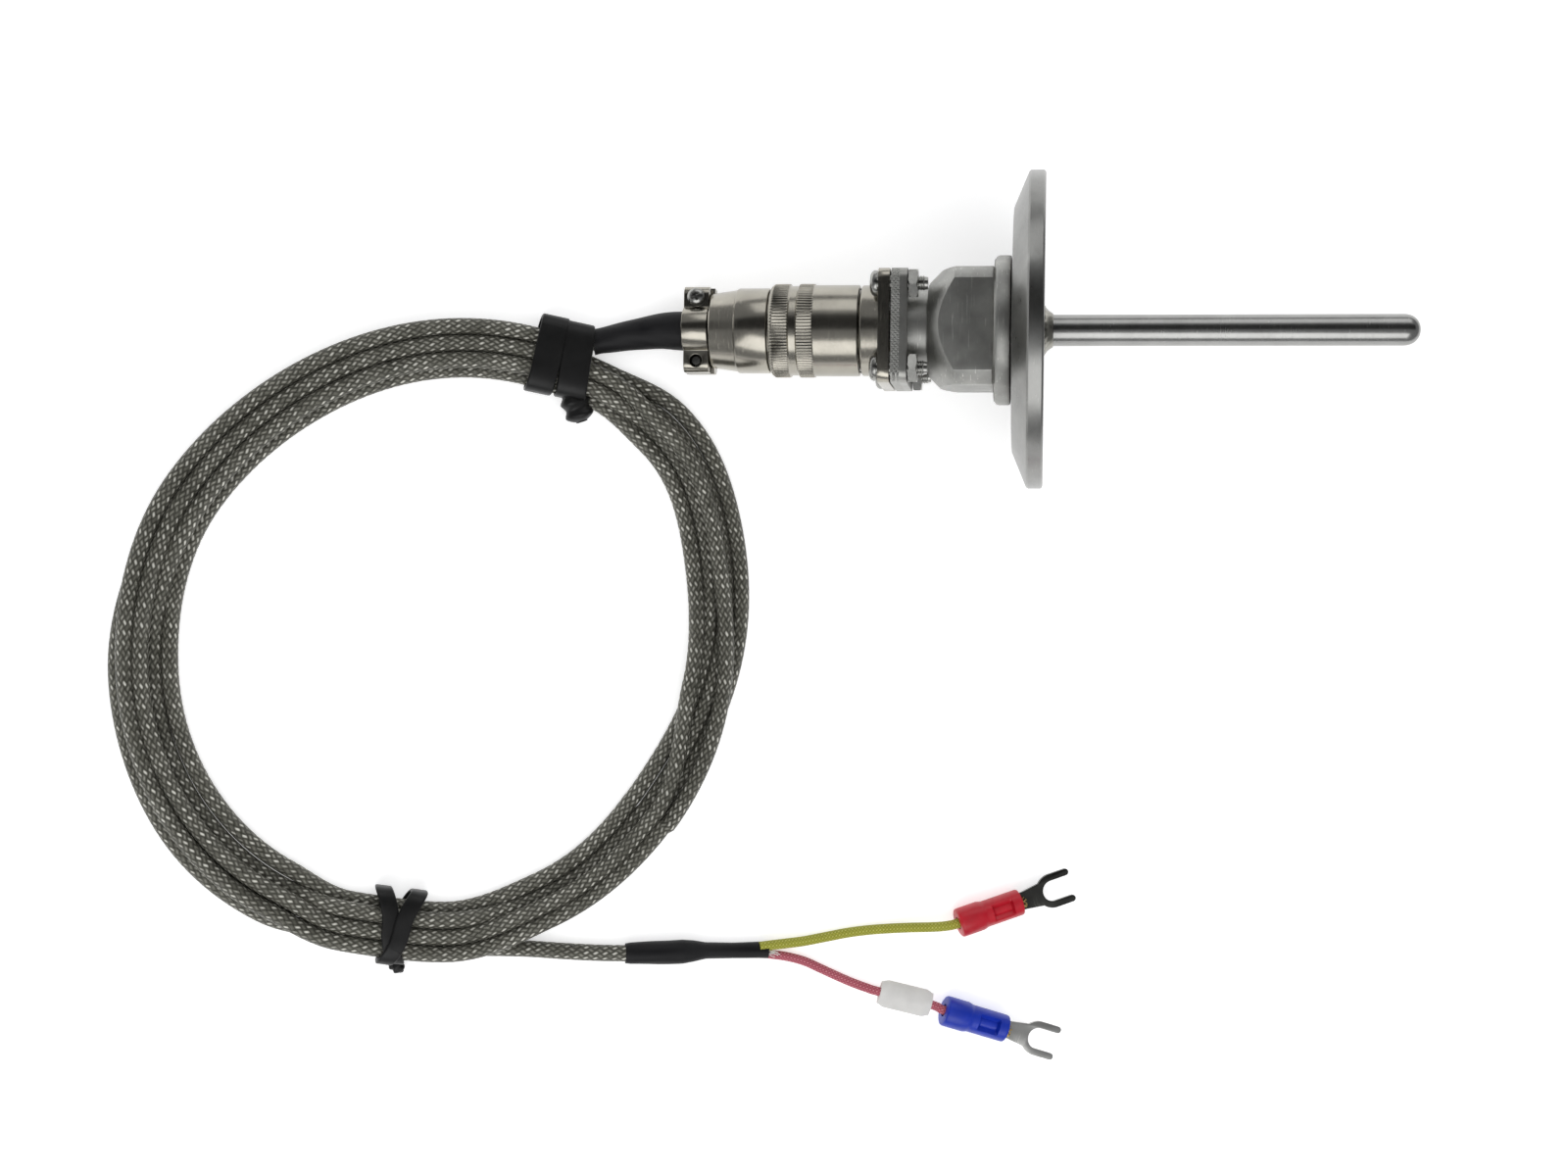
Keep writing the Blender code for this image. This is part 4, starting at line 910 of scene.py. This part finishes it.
def twist(name, angle, across, slide, heading, length, width, thick):
    """The tie's two ends, twisted together into a short tail beside the bundle."""
    centre, outward, tangent = bundle_frame(angle)
    start = centre + outward * across * MM + tangent * slide * MM
    lift = 0.8 + 0.57 * width
    direction = (outward * heading[0] + tangent * heading[1]).normalized()
    points, ups = [], []
    steps = 40
    for step in range(steps + 1):
        t = step / steps
        place = start + direction * length * t * MM
        points.append((place.x, place.y, (lift - 0.8 * t) * MM))
        side = Vector((-direction.y, direction.x, 0.0))
        spin = 0.4 * math.tau * t
        ups.append(tuple(side * math.cos(spin) + Vector((0.0, 0.0, 1.0)) * math.sin(spin)))

    def section(index):
        t = 2.0 * index / steps - 1.0
        swell = max(0.25, 1.0 - t ** 6) ** 0.5 * (1.0 + 0.12 * math.cos(3 * math.pi * t))
        return [(x * swell, y * swell) for x, y in flat_section(width, thick)]

    return sweep(name, points, section, TIE_BLACK, ups)


def build_ties():
    upper = [wrap("tie_upper_band_1", TIE_UPPER_ANGLE, -10.0, 0.4, 7.5, 1.7, 7.6, 6.2, 0.3),
             wrap("tie_upper_band_2", TIE_UPPER_ANGLE, -4.2, -0.4, 7.7, 1.8, 7.8, 5.6, 1.0),
             twist("tie_upper_twist", TIE_UPPER_ANGLE, -2.6, -9.5, (-1.0, -0.6), 8.8, 5.6, 4.4)]
    lower = [wrap("tie_lower_band_1", TIE_LOWER_ANGLE, -1.2, 2.4, 7.2, 0.2, 7.3, 3.4, 0.4),
             wrap("tie_lower_band_2", TIE_LOWER_ANGLE, 1.2, -2.4, 7.4, 0.3, 8.1, 3.4, 1.2),
             twist("tie_lower_twist", TIE_LOWER_ANGLE, 6.8, -0.6, (1.0, 1.2), 4.6, 2.6, 1.4)]
    for node, bands in (("tie_upper", upper), ("tie_lower", lower)):
        for band in bands:
            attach(band, "lead")
        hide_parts(node)
    return upper, lower


def build_split_sleeve():
    points = smooth_route(SPLIT_ROUTE, 0.5)
    run = along(points)
    marks = [0.0, 1.0, 6.5, 12.0, 14.5, 17.0, 23.0, 28.5, 30.3]
    wide = [2.05, 2.2, 2.42, 2.5, 2.2, 1.72, 1.62, 1.72, 1.8]
    tall = [2.0, 2.1, 2.2, 2.2, 2.0, 1.7, 1.6, 1.65, 1.65]

    def section(index):
        s = run[index] / MM
        half_x, half_y = float(np.interp(s, marks, wide)), float(np.interp(s, marks, tall))
        outline = []
        for x, y in circle(1.0, 36):
            fold = 1.0 + 0.018 * math.sin(3 * math.atan2(y, x) + 0.5 * s)
            outline.append((x * half_x * fold, y * half_y * fold))
        return outline

    sleeve = sweep("breakout_sleeve", points, section, SHRINK_BLACK)
    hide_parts("split_sleeve")
    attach(sleeve, "lead")
    return sleeve


def build_conductors():
    """The two insulated conductors, from inside the split sleeve to inside the boots."""
    def boot_mouth(rear, angle):
        return [(rear[0] + d * math.cos(angle), rear[1] + d * math.sin(angle), rear[2]) for d in (0.0, 6.0)]

    yellow_points = smooth_route([(-50.5, -128.3, 2.5)] + YELLOW_ROUTE
                                 + boot_mouth(RED_BOOT_REAR, RED_BOOT_ANGLE), 0.5)
    red_points = smooth_route([(-50.5, -129.7, 1.3)] + RED_ROUTE + [MARKER_END]
                              + boot_mouth(BLUE_BOOT_REAR, BLUE_BOOT_ANGLE), 0.5)
    yellow = sweep("yellow_lead", yellow_points, circle(YELLOW_D / 2, 20), YELLOW_BRAID)
    red = sweep("red_lead", red_points, circle(RED_D / 2, 20), RED_BRAID)
    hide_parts("yellow_conductor")
    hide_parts("red_conductor", "red_conductor_end")
    for item, slot in ((yellow, "yellow_glass_braid"), (red, "red_glass_braid")):
        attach(item, "lead")
    return (yellow, yellow_points), (red, red_points)


def build_fluff():
    """Loose glass-fibre ends where the two conductors leave the sleeve."""
    random.seed(11)
    for number in range(1, 15):
        start = Vector((-48.6, -129.1 + random.uniform(-1.0, 0.9), random.uniform(1.2, 2.7)))
        heading = Vector((random.uniform(0.7, 1.0), random.uniform(-0.55, 0.4), random.uniform(-0.3, 0.25)))
        length = random.uniform(1.2, 3.0)
        bend = Vector((0.0, random.uniform(-0.3, 0.3), random.uniform(-0.1, 0.2)))
        route = [start, start + heading * 0.5 * length + bend, start + heading * length]
        route = [(p.x, p.y, max(0.15, p.z)) for p in route]
        fibre = sweep(f"fluff_{number}", smooth_route(route, 0.4), circle(0.07, 6), GLASS_FLUFF)
        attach(fibre, "lead")


def build_marker():
    start, end = Vector(MARKER_START), Vector(MARKER_END)
    points = smooth_route([tuple(start.lerp(end, share)) for share in (0.0, 0.33, 0.67, 1.0)], 0.3)
    run = along(points)
    whole = run[-1] / MM

    def section(index):
        s = run[index] / MM
        end_gap = min(s, whole - s)
        open_out = ease(end_gap / 1.6)
        half_x = 2.45 + 0.5 * open_out
        half_y = 1.22 + 0.1 * open_out + 0.05 * math.sin(1.3 * s)
        outline = []
        for x, y in circle(1.0, 44):
            px = math.copysign(abs(x) ** 0.75, x) * half_x
            ridge = 0.16 * math.exp(-(px / 1.0) ** 2)
            thickness = half_y * (1.0 - 0.28 * (px / half_x) ** 2) + ridge - 0.12
            py = math.copysign(abs(y) ** 0.85, y) * thickness
            outline.append((px, py))
        return outline

    marker = sweep("marker_tag", points, section, MARKER_WHITE)
    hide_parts("marker_sleeve")
    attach(marker, "lead")
    return marker


def build_terminal(colour, rear, angle, vinyl, rear_r, front_r, blade_metal):
    """A fork terminal: the boot, the fork crimped in it, and the wire ends that show at the boot's front."""
    local = (Matrix.Translation(Vector(rear) * MM) @ Matrix.Rotation(angle, 4, "Z")
             @ Matrix.Rotation(math.pi / 2, 4, "Y"))
    length = BOOT_LENGTH

    def crimp(radius, z, angle_round):
        """The crimping die's print: a square pocket on the upper and lower sides."""
        lengthways = max(0.0, 1.0 - (abs(z - 10.0) / 2.3) ** 8)
        sideways = max(0.0, 1.0 - (abs(radius * math.sin(angle_round)) / 1.75) ** 8)
        inner = abs(math.cos(angle_round)) > 0.5 and radius > 1.6
        return radius - 1.3 * min(1.0, 2.5 * lengthways) * min(1.0, 2.5 * sideways) if inner else radius

    profile = [(2.15, length), (front_r - 0.35, length), (front_r - 0.08, length - 0.12),
               (front_r, length - 0.4)]
    profile += [(front_r, length - 0.4 - i * 0.3) for i in range(1, 28)]
    profile += [(front_r + (rear_r - front_r) * 0.5, 5.6), (rear_r, 5.0), (rear_r, 3.0), (rear_r, 0.5),
                (rear_r - 0.12, 0.15), (rear_r - 0.4, 0.0), (1.35, 0.0), (1.35, 6.4), (2.15, 6.5)]
    profile += [(2.15, 6.5 + i * 0.3) for i in range(1, 26)]
    boot = lathe(f"{colour}_boot_shell", profile, vinyl, steps=96, shape=crimp, matrix=local)
    tidy(boot, sharp=50)
    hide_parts(f"{colour}_boot")
    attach(boot, "lead")

    flat = Matrix.Translation(Vector(rear) * MM) @ Matrix.Rotation(angle, 4, "Z")
    reach, half, slot_r, depth = 12.2, 3.7, 2.25, 6.8
    slot_end = reach - depth + slot_r
    prong = half - slot_r
    outline = [(-1.4, -1.9), (0.9, -1.9)] + arc((slot_end, 0.0), half, 222, 270, 10)
    outline += arc((reach - prong / 2, -half + prong / 2), prong / 2, -90, 90, 8)
    outline += arc((slot_end, 0.0), slot_r, 270, 90, 24)
    outline += arc((reach - prong / 2, half - prong / 2), prong / 2, -90, 90, 8)
    outline += arc((slot_end, 0.0), half, 90, 138, 10) + [(0.9, 1.9), (-1.4, 1.9)]
    fork = prism(f"{colour}_fork_blade", [(x + length, y) for x, y in outline], -0.4, 0.4, blade_metal, flat)
    side = [(0.0, length - 0.3), (1.2, length - 0.3), (1.75, length - 0.7), (1.9, length - 1.2)]
    side += [(1.9, length - 1.5 - i * 0.3) for i in range(20)] + [(1.9, 6.8), (0.0, 6.8)]
    barrel = lathe("cutter", side, None, 48, shape=crimp, matrix=local)
    carve(fork, [barrel], "UNION")
    tidy(fork, sharp=30, bevel=0.12, segments=3)
    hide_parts(f"{colour}_fork")
    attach(fork, "lead")
    random.seed(7)
    wires = []
    for number in range(6):
        start = flat @ (Vector((length - 1.0, random.uniform(-1.1, 1.1), random.uniform(0.9, 1.5))) * MM)
        end = flat @ (Vector((length + random.uniform(0.5, 1.3), random.uniform(-1.4, 1.4),
                              random.uniform(0.55, 1.0))) * MM)
        wire = sweep(f"{colour}_strand_{number + 1}", [tuple(start.lerp(end, i / 4)) for i in range(5)],
                     circle(0.16, 8), BRASS)
        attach(wire, "lead")
        wires.append(wire)
    return boot, fork, *wires


# --- floor, light and camera ---------------------------------------------------------------------
def panel(name, low_y, high_y, half_x, height, material):
    corners = [(-half_x, low_y, height), (half_x, low_y, height), (half_x, high_y, height),
               (-half_x, high_y, height)]
    return new_object(name, corners, [(0, 1, 2, 3)], material)


def build_stage():
    """A pale floor, and a dark board high above it for the metal to reflect."""
    nodes = Nodes("floor", (0.86, 0.86, 0.86), 0.9)
    grain = nodes.noise(nodes.coords((40,) * 3), 1.0, 3.0)
    nodes.link(nodes.ramp(grain, [(0.2, (0.85, 0.85, 0.85)), (0.8, (0.88, 0.88, 0.88))]), "Base Color")
    nodes.set("Specular IOR Level", 0.0)
    nodes.set("Emission Color", (1.0, 1.0, 1.0, 1.0))
    nodes.set("Emission Strength", 0.5)
    floor = panel("floor", -1.6, 1.6, 1.6, 0.0, nodes.material)
    flag = panel("flag", -0.06, 0.66, 1.4, 0.95, Nodes("flag", (0.02, 0.02, 0.02), 0.9).material)
    flag.visible_shadow = False
    flag.visible_diffuse = False


def area_light(name, place, target, size, power):
    data = bpy.data.lights.new(name, "AREA")
    data.shape = "RECTANGLE"
    data.size, data.size_y = size
    data.energy = power
    lamp = bpy.data.objects.new(name, data)
    bpy.context.scene.collection.objects.link(lamp)
    lamp.location = place
    lamp.rotation_euler = (Vector(target) - Vector(place)).to_track_quat("-Z", "Y").to_euler()
    return lamp


def build_light():
    world = bpy.context.scene.world or bpy.data.worlds.new("studio")
    bpy.context.scene.world = world
    world.use_nodes = True
    background = world.node_tree.nodes["Background"]
    background.inputs["Color"].default_value = (0.97, 0.98, 1.0, 1.0)
    background.inputs["Strength"].default_value = 0.3
    area_light("key", (-0.25, -0.75, 0.75), (0.0, -0.05, 0.0), (1.1, 0.7), 4.5)
    area_light("fill", (0.1, 0.95, 0.55), (0.0, -0.05, 0.0), (1.1, 0.6), 2.0)
    overhead = area_light("overhead", (-0.1, -0.06, 0.9), (-0.1, -0.06, 0.0), (1.2, 1.2), 4.0)
    overhead.visible_glossy = False


LENS = 48.8
CAMERA_DISTANCE = 0.430
CAMERA_SHORT_OF_SQUARE = math.radians(6.9)    # how far it is tipped from square to the probe
CAMERA_ROLL = math.radians(0.73)
FLANGE_FROM_MIDDLE = (0.0527, 0.0521)         # the flange's place right of and above the middle


def build_camera():
    """Nearly straight down, tipped so that the flange is seen almost edge-on."""
    data = bpy.data.cameras.new("camera")
    data.sensor_width = 36.0
    data.lens = LENS
    camera = bpy.data.objects.new("camera", data)
    bpy.context.scene.collection.objects.link(camera)
    tip = math.asin(AXIS.z) - CAMERA_SHORT_OF_SQUARE
    back = Vector((-math.sin(tip), 0.0, math.cos(tip)))
    level = Vector((math.cos(tip), 0.0, math.sin(tip)))
    up = ACROSS * math.cos(CAMERA_ROLL) - level * math.sin(CAMERA_ROLL)
    right = level * math.cos(CAMERA_ROLL) + ACROSS * math.sin(CAMERA_ROLL)
    aim = FLANGE_CENTRE - right * FLANGE_FROM_MIDDLE[0] - up * FLANGE_FROM_MIDDLE[1]
    turn = Matrix((right, up, back)).transposed().to_4x4()
    camera.matrix_world = Matrix.Translation(aim + back * CAMERA_DISTANCE) @ turn
    bpy.context.scene.camera = camera


bpy.context.scene.view_settings.view_transform = "Standard"
build_camera()
build_stage()
build_light()
finish_cad_nodes()
cable_piece, cable_line = build_cable()
sleeve_piece = build_plug_sleeve()
tie_pieces = build_ties()
split_piece = build_split_sleeve()
conductor_pieces = build_conductors()
build_fluff()
marker_piece = build_marker()
# The red fork's blade takes the tin painted dark, a painted reflection.
red_pieces = build_terminal("red", RED_BOOT_REAR, RED_BOOT_ANGLE, RED_VINYL, 3.15, 2.85, TIN_PAINTED_DARK_REFLECTION)
blue_pieces = build_terminal("blue", BLUE_BOOT_REAR, BLUE_BOOT_ANGLE, BLUE_VINYL, 3.25, 2.95, TIN)
build_flange()
build_sheath()
build_adapter()
build_receptacle()
build_fasteners()
build_coupling_ring()
build_backshell()
